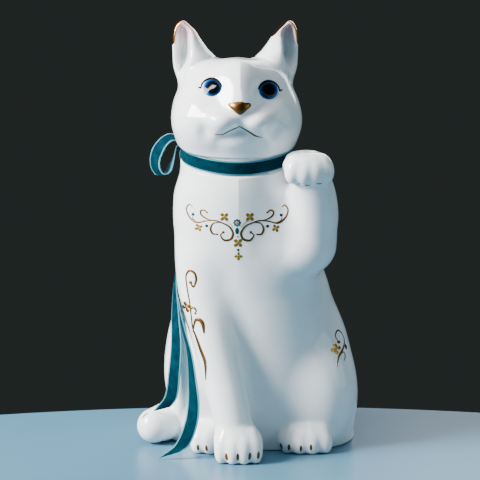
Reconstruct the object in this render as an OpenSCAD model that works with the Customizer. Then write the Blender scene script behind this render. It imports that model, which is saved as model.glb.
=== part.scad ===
// Beckoning cat figurine: slip-cast porcelain castings luted together, with enamel eyes,
// raised gilding and a velvet ribbon tied round the neck. Millimetres, Z up.
// The cat faces -Y. The origin is on the table, at the middle of the closing plate.

/* [Overall] */
// Height of the shoulders' casting, from the table to the middle of the neck seam
body_h = 212; // [180:1:255]
// Width across the haunches
body_w = 134; // [112:1:161]
// Depth of the seat, from the belly to the rump
body_d = 92; // [78:1:111]
// How far the neck leans to the cat's right of the middle of the seat
lean_x = -16; // [-20:1:-10]

/* [Castings] */
// Thickness of the slip-cast wall
wall = 4; // [3:0.1:5]
// Gap left by the slip between two luted castings
lute = 0.1; // [0.05:0.05:0.2]
// Radius of the neck under the ribbon
neck_r = 38; // [31:0.5:46]
// How far the neck slopes down towards the throat
neck_tilt = 15; // [10:1:20]

/* [Head] */
// Width across the cheeks
head_w = 88; // [73:1:106]
// Height from the neck seam to the crown
head_h = 64; // [53:1:77]
// Depth of the skull, without the muzzle
head_d = 84; // [70:1:101]
// How far the head looks round to the cat's left
head_turn = 4; // [0:1:12]
// Height of an ear above the crown
ear_h = 26; // [21:1:31]
// Diameter of an eye
eye_d = 12; // [10:0.5:14.4]

/* [Limbs] */
// Radius of the standing foreleg at the wrist
leg_r = 13; // [10.5:0.5:15.5]
// Radius of the raised forearm
arm_r = 16; // [13:0.5:19]
// Half-width of a front paw
paw_r = 17; // [14:0.5:20.5]
// Half-width of a hind paw
foot_r = 19; // [15.5:0.5:23]
// Radius of the tail
tail_r = 12.5; // [10.5:0.5:15]

/* [Foot] */
// Thickness of the plate that closes the seat
plate_t = 5; // [4:0.5:6]
// Diameter of the vent hole in the plate
vent_d = 9; // [6:0.5:12]

/* [Ribbon] */
// Width of the velvet ribbon
ribbon_w = 10; // [8.5:0.5:12]
// Thickness of the velvet ribbon
ribbon_t = 0.9; // [0.7:0.1:1.1]

/* [Hidden] */

PORCELAIN = "whitesmoke";
GILT = "goldenrod";
VELVET = "teal";

$fn = 18;              // sides of a ball inside a hull
SIDES = 36;            // points round a casting's section
RIBBON_GAP = 0.15;     // between the ribbon and the glaze
FAR = 400;             // larger than the figure

// ---- Shared maths -------------------------------------------------------------

// Smooth value at t of a table of [t, value] rows, by Catmull-Rom through its rows.
function row_at(table, t, i = 0) =
    (i >= len(table) - 2 || t < table[i + 1][0]) ? i : row_at(table, t, i + 1);
function slope(table, i) =
    i == 0 ? (table[1][1] - table[0][1]) / (table[1][0] - table[0][0])
    : i == len(table) - 1 ? (table[i][1] - table[i - 1][1]) / (table[i][0] - table[i - 1][0])
    : (table[i + 1][1] - table[i - 1][1]) / (table[i + 1][0] - table[i - 1][0]);
function smooth_at(table, t) =
    let (i = row_at(table, t),
         h = table[i + 1][0] - table[i][0],
         u = max(0, min(1, (t - table[i][0]) / h)))
    table[i][1] * (2 * u * u * u - 3 * u * u + 1)
    + table[i + 1][1] * (3 * u * u - 2 * u * u * u)
    + slope(table, i) * h * (u * u * u - 2 * u * u + u)
    + slope(table, i + 1) * h * (u * u * u - u * u);

function unit(v) = v / norm(v);

// A closed solid through a list of rings that all have the same number of points.
module skin(rings) {
    n = len(rings[0]);
    last = len(rings) - 1;
    points = [for (ring = rings) each ring];
    sides = [
        for (i = [0:last - 1], j = [0:n - 1])
            let (a = i * n + j, b = i * n + (j + 1) % n)
            each [[a, a + n, b], [b, a + n, b + n]]
    ];
    bottom = [for (j = [0:n - 1]) j];
    top = [for (j = [n - 1:-1:0]) last * n + j];
    polyhedron(points, concat([bottom, top], sides), convexity = 6);
}

module ball(at, r) {
    translate(at) scale(is_list(r) ? r : [r, r, r]) sphere(1);
}

// A limb: balls [x, y, z, r] along it, joined two by two.
module limb(stations, grow = 0) {
    for (i = [0:len(stations) - 2])
        hull() for (s = [stations[i], stations[i + 1]])
            ball([s[0], s[1], s[2]], s[3] + grow);
}

// A paw at the origin: a dome of half-width `half_w`, half-length `half_l` and half-height
// `half_h`, with four toes across its front.
module paw(half_w, half_l, half_h) {
    toe_r = half_w * 0.3;
    ball([0, 0, 0], [half_w * 0.96, half_l, half_h]);
    for (k = [-1.5:1:1.5])
        hull() {
            ball([k * half_w * 0.46, -half_l * (0.78 - abs(k) * 0.13), -half_h * 0.3],
                 [toe_r, half_l * 0.34, half_h * 0.66]);
            ball([k * half_w * 0.34, -half_l * 0.35, half_h * 0.1],
                 [toe_r, half_l * 0.4, half_h * 0.72]);
        }
}

module above_table() {
    intersection() {
        children();
        translate([-FAR / 2, -FAR / 2, 0]) cube(FAR);
    }
}

// ---- Torso --------------------------------------------------------------------

// Middle of the section at a height, its half-width and its half-depth.
// The first column is the share of body_h.
mid_x = [[0, 2], [0.30, 0], [0.50, -3.5], [0.62, -7], [0.78, lean_x + 0.5], [1.1, lean_x]];
mid_y = [[0, 23], [0.30, 20], [0.50, 12], [0.68, 0], [0.85, -10], [0.95, -14], [1.1, -15]];
half_x = [[0, 0.49], [0.10, 0.485], [0.24, 0.465], [0.40, 0.435], [0.55, 0.40], [0.70, 0.345],
          [0.85, 0.315], [0.93, 0.29], [1.1, 0.28]];
half_y = [[0, 0.50], [0.20, 0.56], [0.38, 0.575], [0.55, 0.545], [0.72, 0.50], [0.86, 0.45],
          [0.95, 0.40], [1.1, 0.38]];

NECK = [lean_x, -15, body_h];      // middle of the neck seam, where the head is luted on
NECK_HALF = 7;                     // the neck's straight band reaches this far each way

function section(share, inset) =
    let (cx = smooth_at(mid_x, share), cy = smooth_at(mid_y, share),
         a = body_w * smooth_at(half_x, share) - inset,
         b = body_d * smooth_at(half_y, share) - inset,
         z = body_h * share)
    [for (k = [0:SIDES - 1]) [cx + a * cos(360 * k / SIDES), cy + b * sin(360 * k / SIDES), z]];

module torso_column(inset = 0, from = 0, to = 1.1, step = 0.04) {
    skin([for (share = [from:step:to]) section(share, inset)]);
}

// In the frame of the neck, whose axis leans forward.
module at_neck() {
    translate(NECK) rotate([neck_tilt, 0, 0]) children();
}

SEAT_X = 1;                        // the middle of the seat

// A thigh: hip, knee and heel. The right one is tucked up clear of the tail.
module thigh(side) {
    tuck = side < 0 ? 1 : 0;
    limb([[SEAT_X + side * body_w * 0.285, 26, 57 + tuck * 3, 30],
          [SEAT_X + side * body_w * 0.335, -4 + tuck * 6, 37 + tuck * 15, 24 - tuck * 2],
          [SEAT_X + side * body_w * 0.33, 10 + tuck * 16, 17, 22.5],
          [SEAT_X + side * body_w * 0.29, 38, 26, 26]]);
}

// Everything of the body's casting, without its hollow. The other castings are cut to it.
module torso_outside() {
    above_table() difference() {
        union() {
            torso_column(from = -0.04);
            thigh(1);
            thigh(-1);
            limb([[lean_x - 26, -22, body_h * 0.66, 17], [lean_x - 27, -12, body_h * 0.84, 15]]);
            limb([[lean_x + 34, -18, body_h * 0.66, 18], [lean_x + 27, -10, body_h * 0.84, 15]]);
        }
        at_neck() translate([-FAR / 2, -FAR / 2, -NECK_HALF]) cube(FAR);
    }
    at_neck() translate([0, 0, -NECK_HALF - 12]) cylinder(r = neck_r, h = NECK_HALF + 12, $fn = SIDES);
}

module closing_outline(gap = 0) {
    polygon([for (p = section(0, wall * 2 + gap)) [p[0], p[1]]]);
}

module torso() {
    color(PORCELAIN) difference() {
        torso_outside();
        torso_column(wall, plate_t / body_h, 0.9, 0.085);
        at_neck() translate([0, 0, -30]) cylinder(r = neck_r - wall, h = 60);
        translate([0, 0, -1]) linear_extrude(plate_t + 2) closing_outline();
    }
}

module closing_plate() {
    color(PORCELAIN) difference() {
        linear_extrude(plate_t) closing_outline(lute);
        translate([0, 23, -1]) cylinder(d = vent_d, h = plate_t + 2, $fn = 48);
    }
}

// ---- Head ---------------------------------------------------------------------

// Half-width and half-depth of the skull. The first column is the share of head_h
// above the neck seam, and the second is the share of head_w or head_d.
skull_x = [[-0.25, 0.36], [0, 0.43], [0.12, 0.47], [0.33, 0.511], [0.52, 0.50], [0.66, 0.455],
           [0.80, 0.40], [0.90, 0.33], [0.97, 0.22], [1.0, 0.12]];
skull_y = [[-0.25, 0.34], [0, 0.42], [0.33, 0.49], [0.66, 0.455], [0.80, 0.40], [0.90, 0.31],
           [0.97, 0.20], [1.0, 0.10]];
SKULL_Y = -3;                      // the skull's middle, from the neck's

function skull_ring(share, inset) =
    let (a = head_w * smooth_at(skull_x, share) - inset,
         b = head_d * smooth_at(skull_y, share) - inset)
    [for (k = [0:SIDES - 1]) [a * cos(360 * k / SIDES), SKULL_Y + b * sin(360 * k / SIDES),
                              head_h * share]];

module skull(inset = 0, top = 1) {
    skin([for (share = [-0.25:0.05:top - 0.12]) skull_ring(share, inset),
          for (share = [top - 0.1:0.025:top + 0.001]) skull_ring(share, inset)]);
}

// In the frame of the head: upright, on the neck seam, turned to the cat's left.
module at_head() {
    translate(NECK) rotate([0, 0, head_turn]) children();
}

EYE = [head_w * 0.208, 0.67 * head_h];        // the eyes' place across and above the seam
NOSE = [0, SKULL_Y - head_d * 0.5 - 9, 0.47 * head_h];

module muzzle() {
    wide = head_w * 0.17;
    for (side = [-1, 1]) {
        hull() {
            ball([side * wide * 0.9, NOSE[1] + 17, NOSE[2] - 11], [15, 14, 11.5]);
            ball([side * wide * 0.4, NOSE[1] + 12, NOSE[2] - 7], [10, 11, 9.5]);
        }
        hull() {
            ball([side * wide * 1.5, NOSE[1] + 32, NOSE[2] - 10], [17, 17, 16]);
            ball([side * wide * 0.8, NOSE[1] + 27, NOSE[2] - 8], [13, 16, 13]);
        }
        hull() {
            ball([side * head_w * 0.09, SKULL_Y - head_d * 0.33, head_h * 0.86], [10, 12, 7]);
            ball([side * head_w * 0.24, SKULL_Y - head_d * 0.30, head_h * 0.80], [11, 12, 8]);
        }
    }
    hull() {
        ball([0, NOSE[1] + 8, NOSE[2]], [7, 7, 6]);
        ball([0, NOSE[1] + 22, NOSE[2] + 14], [9, 10, 12]);
    }
    hull() {
        ball([0, NOSE[1] + 16, NOSE[2] - 22], [13, 12, 9]);
        ball([0, NOSE[1] + 24, NOSE[2] - 24], [20, 16, 10]);
    }
}

module head_outside() {
    difference() {
        at_head() {
            skull();
            muzzle();
        }
        at_neck() translate([-FAR / 2, -FAR / 2, NECK_HALF - FAR]) cube(FAR);
    }
    at_neck() translate([0, 0, lute]) cylinder(r = neck_r, h = NECK_HALF + 8, $fn = SIDES);
}

module head() {
    color(PORCELAIN) difference() {
        head_outside();
        hollow_head();
    }
}

module hollow_head() {
    difference() {
        at_head() skull(wall, 0.93);
        at_neck() translate([-FAR / 2, -FAR / 2, NECK_HALF + 4 - FAR]) cube(FAR);
    }
    at_neck() translate([0, 0, -1]) cylinder(r = neck_r - wall, h = NECK_HALF + 9, $fn = SIDES);
}

// The edges of an ear away from the head's middle. The first column is the share of ear_h
// above the crown, and the second is the share of half head_w.
ear_far = [[-0.75, 0.86], [-0.3, 0.955], [0, 0.975], [0.4, 0.975], [0.7, 0.93], [0.9, 0.88], [1.0, 0.83]];
ear_near = [[-0.75, 0.50], [-0.3, 0.20], [0, 0.26], [0.16, 0.35], [0.4, 0.455], [0.7, 0.60],
            [0.9, 0.73], [1.0, 0.80]];
ear_depth = [[-0.75, 0.20], [0, 0.21], [0.4, 0.16], [0.7, 0.11], [1.0, 0.03]];
EAR_WALL = 2.6;

function ear_ring(share, inset, forward) =
    let (half = head_w / 2,
         far = half * smooth_at(ear_far, share) - inset,
         near = half * smooth_at(ear_near, share) + inset,
         b = max(0.4, head_d * smooth_at(ear_depth, share) - inset * 0.5))
    [for (k = [0:19]) [(far + near) / 2 + (far - near) / 2 * cos(18 * k),
                       2 - forward + b * sin(18 * k), head_h + ear_h * share]];

// The whole cone of an ear, with the cup of its opening taken out in `ear`.
module ear_outside(side) {
    at_head() mirror([side < 0 ? 1 : 0, 0, 0])
        skin([for (share = [-0.8:0.1:1.001]) ear_ring(share, 0, 0)]);
}

module ear(side) {
    color(PORCELAIN) difference() {
        ear_outside(side);
        at_head() mirror([side < 0 ? 1 : 0, 0, 0])
            skin([for (share = [-0.5:0.1:0.81]) ear_ring(share, EAR_WALL, 9)]);
        head_outside();
    }
}

module left_ear() ear(1);
module right_ear() ear(-1);

module eye(side) {
    color("midnightblue") difference() {
        at_head() translate([side * EYE[0], SKULL_Y - head_d * 0.445, EYE[1]])
            rotate([0, 0, side * 20]) scale([1, 0.55, 0.92]) sphere(d = eye_d);
        head_outside();
    }
}

module left_eye() eye(1);
module right_eye() eye(-1);

module nose_pad() {
    color(GILT) difference() {
        at_head() hull() {
            ball([0, NOSE[1] + 4, NOSE[2] - 3.5], [2.5, 4, 2]);
            for (side = [-1, 1])
                ball([side * 5.5, NOSE[1] + 5.5, NOSE[2] + 2.5], [2, 4, 2]);
        }
        head_outside();
    }
}

// ---- Limbs --------------------------------------------------------------------

PAW = [lean_x + 1, -46, 12];               // the standing paw's middle
leg_stations = [
    [lean_x - 21, -14, body_h * 0.66, leg_r + 4], [lean_x - 23.5, -22, body_h * 0.557, leg_r + 4],
    [lean_x - 21, -27, body_h * 0.49, leg_r + 3], [lean_x - 17.5, -31, body_h * 0.425, leg_r + 2.2],
    [lean_x - 13.5, -34.5, body_h * 0.344, leg_r + 1.5], [lean_x - 9.5, -37.5, body_h * 0.264, leg_r + 1.2],
    [lean_x - 5.5, -41, body_h * 0.184, leg_r + 0.6], [lean_x - 2.5, -43, body_h * 0.118, leg_r],
    [lean_x - 1, -44, 16, leg_r - 0.5]];

RAISED = [lean_x + 47, -54, body_h * 0.948];     // the raised paw's middle
arm_stations = [
    [lean_x + 22, -18, body_h * 0.79, arm_r + 3], [lean_x + 38, -24, body_h * 0.73, arm_r + 2],
    [lean_x + 49, -28, body_h * 0.69, arm_r + 0.5], [lean_x + 52, -31, body_h * 0.695, arm_r],
    [lean_x + 52.5, -34, body_h * 0.73, arm_r], [lean_x + 53, -38, body_h * 0.79, arm_r],
    [lean_x + 52, -42, body_h * 0.85, arm_r - 0.5], [lean_x + 50, -46, body_h * 0.90, arm_r - 1.5],
    [lean_x + 48, -50, body_h * 0.935, arm_r - 2.5]];

module foreleg_outside() {
    limb(leg_stations);
    translate(PAW) paw(paw_r, 16, 12.5);
}

module right_foreleg() {
    color(PORCELAIN) above_table() difference() {
        foreleg_outside();
        limb([for (i = [1:len(leg_stations) - 3]) leg_stations[i]], -wall);
        torso_outside();
    }
}

module raised_arm() {
    color(PORCELAIN) difference() {
        union() {
            limb(arm_stations);
            translate(RAISED) rotate([24, 0, 8]) paw(paw_r, 15, 12);
        }
        limb([for (i = [0:len(arm_stations) - 2]) arm_stations[i]], -wall);
        torso_outside();
    }
}

module hind_paw(side) {
    at = [SEAT_X + side * body_w * 0.235, -19, 11];
    color(PORCELAIN) above_table() difference() {
        union() {
            translate(at) paw(foot_r, 17, 11.5);
            for (reach = [8:8:32])
                hull() {
                    ball([at[0], at[1] + reach, at[2] + 1], [foot_r * 0.92, foot_r * 0.8, 12]);
                    ball([at[0] + side * 2, at[1] + reach + 8, at[2] + 2], [foot_r * 0.92, foot_r * 0.8, 13]);
                }
        }
        torso_outside();
        foreleg_outside();
    }
}

module left_hind_paw() hind_paw(1);
module right_hind_paw() hind_paw(-1);

tail_stations = [
    [-4, 64, 17, tail_r], [-20, 69, 15, tail_r], [-36, 66, 14, tail_r], [-49, 56, 14, tail_r],
    [-57, 43, 15, tail_r], [-59, 29, 15.5, tail_r], [-61, 17, 15.5, tail_r + 0.5],
    [-67, 6, 14.5, tail_r + 1], [-75.5, -1.5, 13, tail_r]];

module tail() {
    color(PORCELAIN) above_table() difference() {
        limb(tail_stations);
        limb([for (i = [0:len(tail_stations) - 2]) tail_stations[i]], -wall);
        torso_outside();
    }
}

// ---- Ribbon -------------------------------------------------------------------

KNOT_ANGLE = 148;                          // round the neck, from the cat's left
RIBBON_R = neck_r + RIBBON_GAP;            // inside of the collar

// In the frame of the knot: X outwards, Z up the neck, on the collar's outside.
module at_knot() {
    at_neck() rotate([0, 0, KNOT_ANGLE]) translate([RIBBON_R + ribbon_t, 0, 0]) children();
}

module ribbon_collar() {
    color(VELVET) at_neck() translate([0, 0, -ribbon_w / 2]) difference() {
        cylinder(r = RIBBON_R + ribbon_t, h = ribbon_w, $fn = 96);
        translate([0, 0, -1]) cylinder(r = RIBBON_R, h = ribbon_w + 2, $fn = 96);
    }
}

KNOT = [7, 9, 11];                         // the knot's depth, width and height

module ribbon_knot() {
    color(VELVET) difference() {
        at_knot() translate([KNOT[0] / 2 - 0.6, 0, 0]) hull() {
            for (z = [-1, 1])
                ball([0, 0, z * KNOT[2] * 0.2], [KNOT[0] / 2, KNOT[1] / 2, KNOT[2] * 0.3]);
        }
        at_neck() translate([0, 0, -ribbon_w]) cylinder(r = RIBBON_R + ribbon_t, h = ribbon_w * 2, $fn = 96);
    }
}

// A flat loop of ribbon: a drop outline, as wide as the ribbon, that starts at the knot.
module ribbon_loop(length, drop) {
    linear_extrude(ribbon_w, center = true) difference() {
        hull() {
            circle(r = 1.6, $fn = 24);
            translate([length, 0]) circle(r = drop, $fn = 48);
        }
        hull() {
            circle(r = 1.6 - ribbon_t, $fn = 24);
            translate([length, 0]) circle(r = drop - ribbon_t, $fn = 48);
        }
    }
}

module ribbon_loop_side() {
    color(VELVET) at_knot() translate([KNOT[0] * 0.7, KNOT[1] / 2 + 1, 0])
        rotate([0, 55, 0]) rotate([70, 0, 12]) translate([2, 0, 0]) ribbon_loop(18, 6.5);
}

module ribbon_loop_rear() {
    color(VELVET) at_knot() translate([KNOT[0] * 0.7, -KNOT[1] / 2 - 1, 0])
        rotate([0, 50, -40]) rotate([70, 0, 0]) translate([2, 0, 0]) ribbon_loop(18, 6.5);
}

// A hanging end: stations of [place, direction across the width].
module ribbon_end(stations) {
    last = len(stations) - 1;
    skin([for (i = [0:last])
        let (at = stations[i][0], across = unit(stations[i][1]),
             along = unit(stations[min(last, i + 1)][0] - stations[max(0, i - 1)][0]),
             out = unit(cross(across, along)),
             w = across * ribbon_w / 2, t = out * ribbon_t / 2)
        [at + w + t, at + w - t, at - w - t, at - w + t]]);
}

// A place beside the torso's right flank: at a share of body_h and a depth y, this far out.
function beside(share, y, out) =
    let (cx = smooth_at(mid_x, share), cy = smooth_at(mid_y, share),
         a = body_w * smooth_at(half_x, share), b = body_d * smooth_at(half_y, share),
         k = min(1, abs(y - cy) / b))
    [cx - a * sqrt(1 - k * k) - out, y, body_h * share];

// Where the ends leave the knot, this far back round the neck from its side.
function at_side(y, drop) = [lean_x - sqrt(pow(neck_r + 14, 2) - pow(y - NECK[1], 2)) + 5.5, y, body_h - drop];

rear_end = [
    [at_side(10, 10), [0.6, 1, 0]],
    [beside(0.90, 14, 12), [0.5, 1, 0]], [beside(0.80, 16, 7.5), [0.4, 1, 0]],
    [beside(0.685, 13, 5.5), [0.3, 1, 0]], [beside(0.557, 1, 6), [0.1, 1, 0]],
    [beside(0.45, -9, 11), [0.3, 1, 0]], [beside(0.355, -15, 10), [0.7, 1, 0]],
    [beside(0.26, -22, 25), [1, 0.8, 0]], [beside(0.18, -19, 26), [1, 0.6, 0]],
    [beside(0.14, -10, 20.5), [1, 0.5, 0]]];
front_end = [
    [at_side(20, 10), [0.6, 1, 0]],
    [beside(0.90, 25, 24.5), [0.5, 1, 0]], [beside(0.80, 27, 13), [0.4, 1, 0]],
    [beside(0.685, 25, 10), [0.3, 1, 0]], [beside(0.557, 13, 3.8), [0.1, 1, 0]],
    [beside(0.434, -15, 10.5), [0.4, 1, 0]], [beside(0.32, -27, 20.5), [0.8, 1, 0]],
    [beside(0.217, -36, 45), [1, 0.7, 0]], [beside(0.115, -41, 46.5), [1, 0.4, 0]],
    [beside(0.045, -43, 55.5), [1, 0.2, 0]], [beside(0.011, -46, 65), [1, -0.6, 0]]];

module ribbon_tail_rear() {
    color(VELVET) ribbon_end(rear_end);
}

module ribbon_tail_front() {
    color(VELVET) ribbon_end(front_end);
}

torso();
closing_plate();
head();
left_ear();
right_ear();
left_eye();
right_eye();
nose_pad();
raised_arm();
right_foreleg();
left_hind_paw();
right_hind_paw();
tail();
ribbon_collar();
ribbon_knot();
ribbon_loop_side();
ribbon_loop_rear();
ribbon_tail_rear();
ribbon_tail_front();
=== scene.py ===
"""Beckoning cat figurine in glazed porcelain, with gilding, enamel and a velvet ribbon.

The porcelain is described by one smooth field of distances, because slip and glaze run the
castings into each other. The field is meshed once and parted into the castings of the CAD
frame. Sizes are in millimetres, in the frame's axes, and become metres when a mesh is made.
"""
import logging
import math
from dataclasses import dataclass, field
from enum import Enum
from typing import Iterable, Sequence

import bpy
import numpy as np
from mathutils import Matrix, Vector
from mathutils.bvhtree import BVHTree


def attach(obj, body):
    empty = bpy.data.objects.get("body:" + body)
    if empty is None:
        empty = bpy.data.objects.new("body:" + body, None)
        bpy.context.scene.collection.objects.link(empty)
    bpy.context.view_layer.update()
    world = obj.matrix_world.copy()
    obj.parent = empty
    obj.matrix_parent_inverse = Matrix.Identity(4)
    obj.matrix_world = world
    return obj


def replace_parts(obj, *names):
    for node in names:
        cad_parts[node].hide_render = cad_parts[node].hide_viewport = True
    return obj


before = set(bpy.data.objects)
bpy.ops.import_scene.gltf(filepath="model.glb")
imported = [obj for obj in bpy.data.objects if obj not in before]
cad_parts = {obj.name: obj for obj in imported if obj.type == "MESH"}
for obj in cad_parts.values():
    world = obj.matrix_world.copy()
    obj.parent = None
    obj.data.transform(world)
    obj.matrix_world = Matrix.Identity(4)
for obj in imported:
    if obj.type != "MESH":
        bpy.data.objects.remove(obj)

LOG = logging.getLogger("figurine")
MM = 0.001  # a millimetre in metres
BODY = "root"  # the frame's one body, which every piece rides on
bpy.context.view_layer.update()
FAR = 60.0  # the field's value where no clay is near, in millimetres
TINY = 1e-6  # the least length that anything is divided by

Array = np.ndarray
Table = Sequence[tuple[float, float]]
Point = tuple[float, float, float]


# ---- Shape mathematics --------------------------------------------------------------


def smooth_at(table: Table, t: Array) -> Array:
    """Read a table of (place, value) rows along a smooth curve through its rows.

    Args:
        table: Rows with rising places.
        t: Places to read.

    Returns:
        The values, held level beyond the table's ends.
    """
    place = np.array([row[0] for row in table])
    value = np.array([row[1] for row in table])
    slope = np.gradient(value, place)
    slope[1:-1] = (value[2:] - value[:-2]) / (place[2:] - place[:-2])
    i = np.clip(np.searchsorted(place, t, side="right") - 1, 0, len(place) - 2)
    h = place[i + 1] - place[i]
    u = np.clip((t - place[i]) / h, 0, 1)
    rise = u * u * (3 - 2 * u)
    return (value[i] * (1 - rise) + value[i + 1] * rise
            + slope[i] * h * u * (u - 1) ** 2 + slope[i + 1] * h * u * u * (u - 1))


def smooth_min(a: Array, b: Array, k: float) -> Array:
    """The lesser of two fields, with a fillet where they meet.

    Args:
        a: One field's values.
        b: The other field's values.
        k: About how wide the fillet is.

    Returns:
        The joined values.
    """
    h = np.maximum(k - np.abs(a - b), 0) / k
    return np.minimum(a, b) - h * h * k / 4


def turned(u: Array | float, v: Array | float, degrees: float) -> tuple[Array | float, Array | float]:
    """Turn a pair of coordinates round their origin.

    Args:
        u: The first coordinate.
        v: The second coordinate.
        degrees: How far, from the first axis towards the second.

    Returns:
        Both coordinates, turned.
    """
    c, s = math.cos(math.radians(degrees)), math.sin(math.radians(degrees))
    return c * u - s * v, c * v + s * u


class Op(Enum):
    """How a shape joins the field."""

    ADD = "add"
    CUT = "cut"
    LIFT = "lift"


@dataclass(frozen=True)
class Place:
    """A frame that shapes are described in: moved, then turned about Z and about X.

    Attributes:
        at: The frame's origin.
        turn: Degrees about Z.
        tip: Degrees about the turned X.
    """

    at: Point = (0, 0, 0)
    turn: float = 0
    tip: float = 0

    def inward(self, x: Array, y: Array, z: Array) -> tuple[Array, Array, Array]:
        """Turn points of the figure into points of this frame.

        Args:
            x: The points' X in the figure.
            y: Their Y.
            z: Their Z.

        Returns:
            Their X, Y and Z in this frame.
        """
        x, y = turned(x - self.at[0], y - self.at[1], -self.turn)
        z = z - self.at[2]
        if self.tip:
            y, z = turned(y, z, -self.tip)
        return x, y, z

    def outward(self, p: Point) -> Point:
        """Turn a point of this frame into a point of the figure.

        Args:
            p: The point in this frame.

        Returns:
            The point in the figure.
        """
        y, z = turned(p[1], p[2], self.tip)
        x, y = turned(p[0], y, self.turn)
        return (x + self.at[0], y + self.at[1], z + self.at[2])


@dataclass(frozen=True)
class Ball:
    """An ellipsoid.

    Attributes:
        at: Its middle.
        radii: Its half-sizes.
    """

    at: Point
    radii: Point

    def box(self) -> tuple[Array, Array]:
        """Find the box round the shape.

        Returns:
            Its lowest and highest corner, in the shape's own frame.
        """
        at, radii = np.array(self.at, float), np.array(self.radii, float)
        return at - radii, at + radii

    def distance(self, x: Array, y: Array, z: Array) -> Array:
        """Distance from the surface, negative inside.

        Args:
            x: The points' X in the shape's own frame.
            y: Their Y.
            z: Their Z.

        Returns:
            The distance at each point.
        """
        u = (x - self.at[0]) / self.radii[0]
        v = (y - self.at[1]) / self.radii[1]
        w = (z - self.at[2]) / self.radii[2]
        k0 = np.sqrt(u * u + v * v + w * w)
        k1 = np.sqrt((u / self.radii[0]) ** 2 + (v / self.radii[1]) ** 2 + (w / self.radii[2]) ** 2)
        return k0 * (k0 - 1) / np.maximum(k1, TINY)


@dataclass(frozen=True)
class Limb:
    """A round limb on a smooth middle line.

    Attributes:
        stations: Rows of x, y, z and radius that the limb passes through.
    """

    stations: tuple[tuple[float, float, float, float], ...]

    def along(self, u: Array) -> Array:
        """Read the limb's middle and radius.

        Args:
            u: Places along it, counted in stations.

        Returns:
            Four rows: X, Y, Z and the radius at each place.
        """
        s = np.array(self.stations, float)
        places = np.arange(len(s), dtype=float)
        return np.stack([smooth_at(tuple(zip(places, s[:, i])), u) for i in range(4)])

    def box(self) -> tuple[Array, Array]:
        """Find the box round the shape.

        Returns:
            Its lowest and highest corner, in the shape's own frame.
        """
        c = self.along(np.linspace(0, len(self.stations) - 1, 40))
        return (c[:3] - c[3]).min(1), (c[:3] + c[3]).max(1)

    def distance(self, x: Array, y: Array, z: Array) -> Array:
        """Distance from the surface, negative inside.

        Args:
            x: The points' X in the shape's own frame.
            y: Their Y.
            z: Their Z.

        Returns:
            The distance at each point.
        """
        x, y, z = np.broadcast_arrays(x, y, z)
        best = np.full(x.shape, np.inf)
        place = np.zeros(x.shape)
        end = len(self.stations) - 1
        for i, (a, b) in enumerate(zip(self.stations, self.stations[1:])):
            d = [b[k] - a[k] for k in range(3)]
            t = ((x - a[0]) * d[0] + (y - a[1]) * d[1] + (z - a[2]) * d[2]) / sum(v * v for v in d)
            t = np.clip(t, 0, 1)
            off = np.sqrt((x - a[0] - t * d[0]) ** 2 + (y - a[1] - t * d[1]) ** 2
                          + (z - a[2] - t * d[2]) ** 2) - (a[3] + t * (b[3] - a[3]))
            place = np.where(off < best, i + t, place)
            best = np.minimum(best, off)
        nudge, damping = 0.05, 0.8
        for _ in range(3):
            c, ahead = self.along(place), self.along(np.minimum(place + nudge, end))
            behind = self.along(np.maximum(place - nudge, 0))
            way = (ahead - behind)[:3] / (np.minimum(place + nudge, end) - np.maximum(place - nudge, 0))
            step = (x - c[0]) * way[0] + (y - c[1]) * way[1] + (z - c[2]) * way[2]
            place = np.clip(place + damping * step / np.maximum((way * way).sum(0), TINY), 0, end)
        c = self.along(place)
        return np.sqrt((x - c[0]) ** 2 + (y - c[1]) ** 2 + (z - c[2]) ** 2) - c[3]


@dataclass(frozen=True)
class Column:
    """Ovals stacked along Z, with its ends rounded over.

    Attributes:
        mid_x: The ovals' middle in X along Z.
        mid_y: Their middle in Y.
        half_x: Their half-size in X.
        half_y: Their half-size in Y.
        low: The Z it starts at.
        high: The Z it ends at.
        square: Two for an ellipse, more for an oval with fuller corners.
    """

    mid_x: Table
    mid_y: Table
    half_x: Table
    half_y: Table
    low: float
    high: float
    square: float = 2.0

    def box(self) -> tuple[Array, Array]:
        """Find the box round the shape.

        Returns:
            Its lowest and highest corner, in the shape's own frame.
        """
        z = np.linspace(self.low, self.high, 40)
        cx, cy = smooth_at(self.mid_x, z), smooth_at(self.mid_y, z)
        a, b = smooth_at(self.half_x, z), smooth_at(self.half_y, z)
        return (np.array([(cx - a).min(), (cy - b).min(), self.low]),
                np.array([(cx + a).max(), (cy + b).max(), self.high]))

    def distance(self, x: Array, y: Array, z: Array) -> Array:
        """Distance from the surface, negative inside.

        Args:
            x: The points' X in the shape's own frame.
            y: Their Y.
            z: Their Z.

        Returns:
            The distance at each point.
        """
        a, b = smooth_at(self.half_x, z), smooth_at(self.half_y, z)
        u = np.abs(x - smooth_at(self.mid_x, z)) / a
        v = np.abs(y - smooth_at(self.mid_y, z)) / b
        n = self.square
        k0 = (u ** n + v ** n) ** (1 / n)
        k1 = np.sqrt((u / a) ** 2 + (v / b) ** 2) / np.maximum(np.sqrt(u * u + v * v), TINY) * k0
        side = k0 * (k0 - 1) / np.maximum(k1, TINY)
        rounding = 3.0
        return -smooth_min(-side, -np.maximum(self.low - z, z - self.high), rounding)


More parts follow.
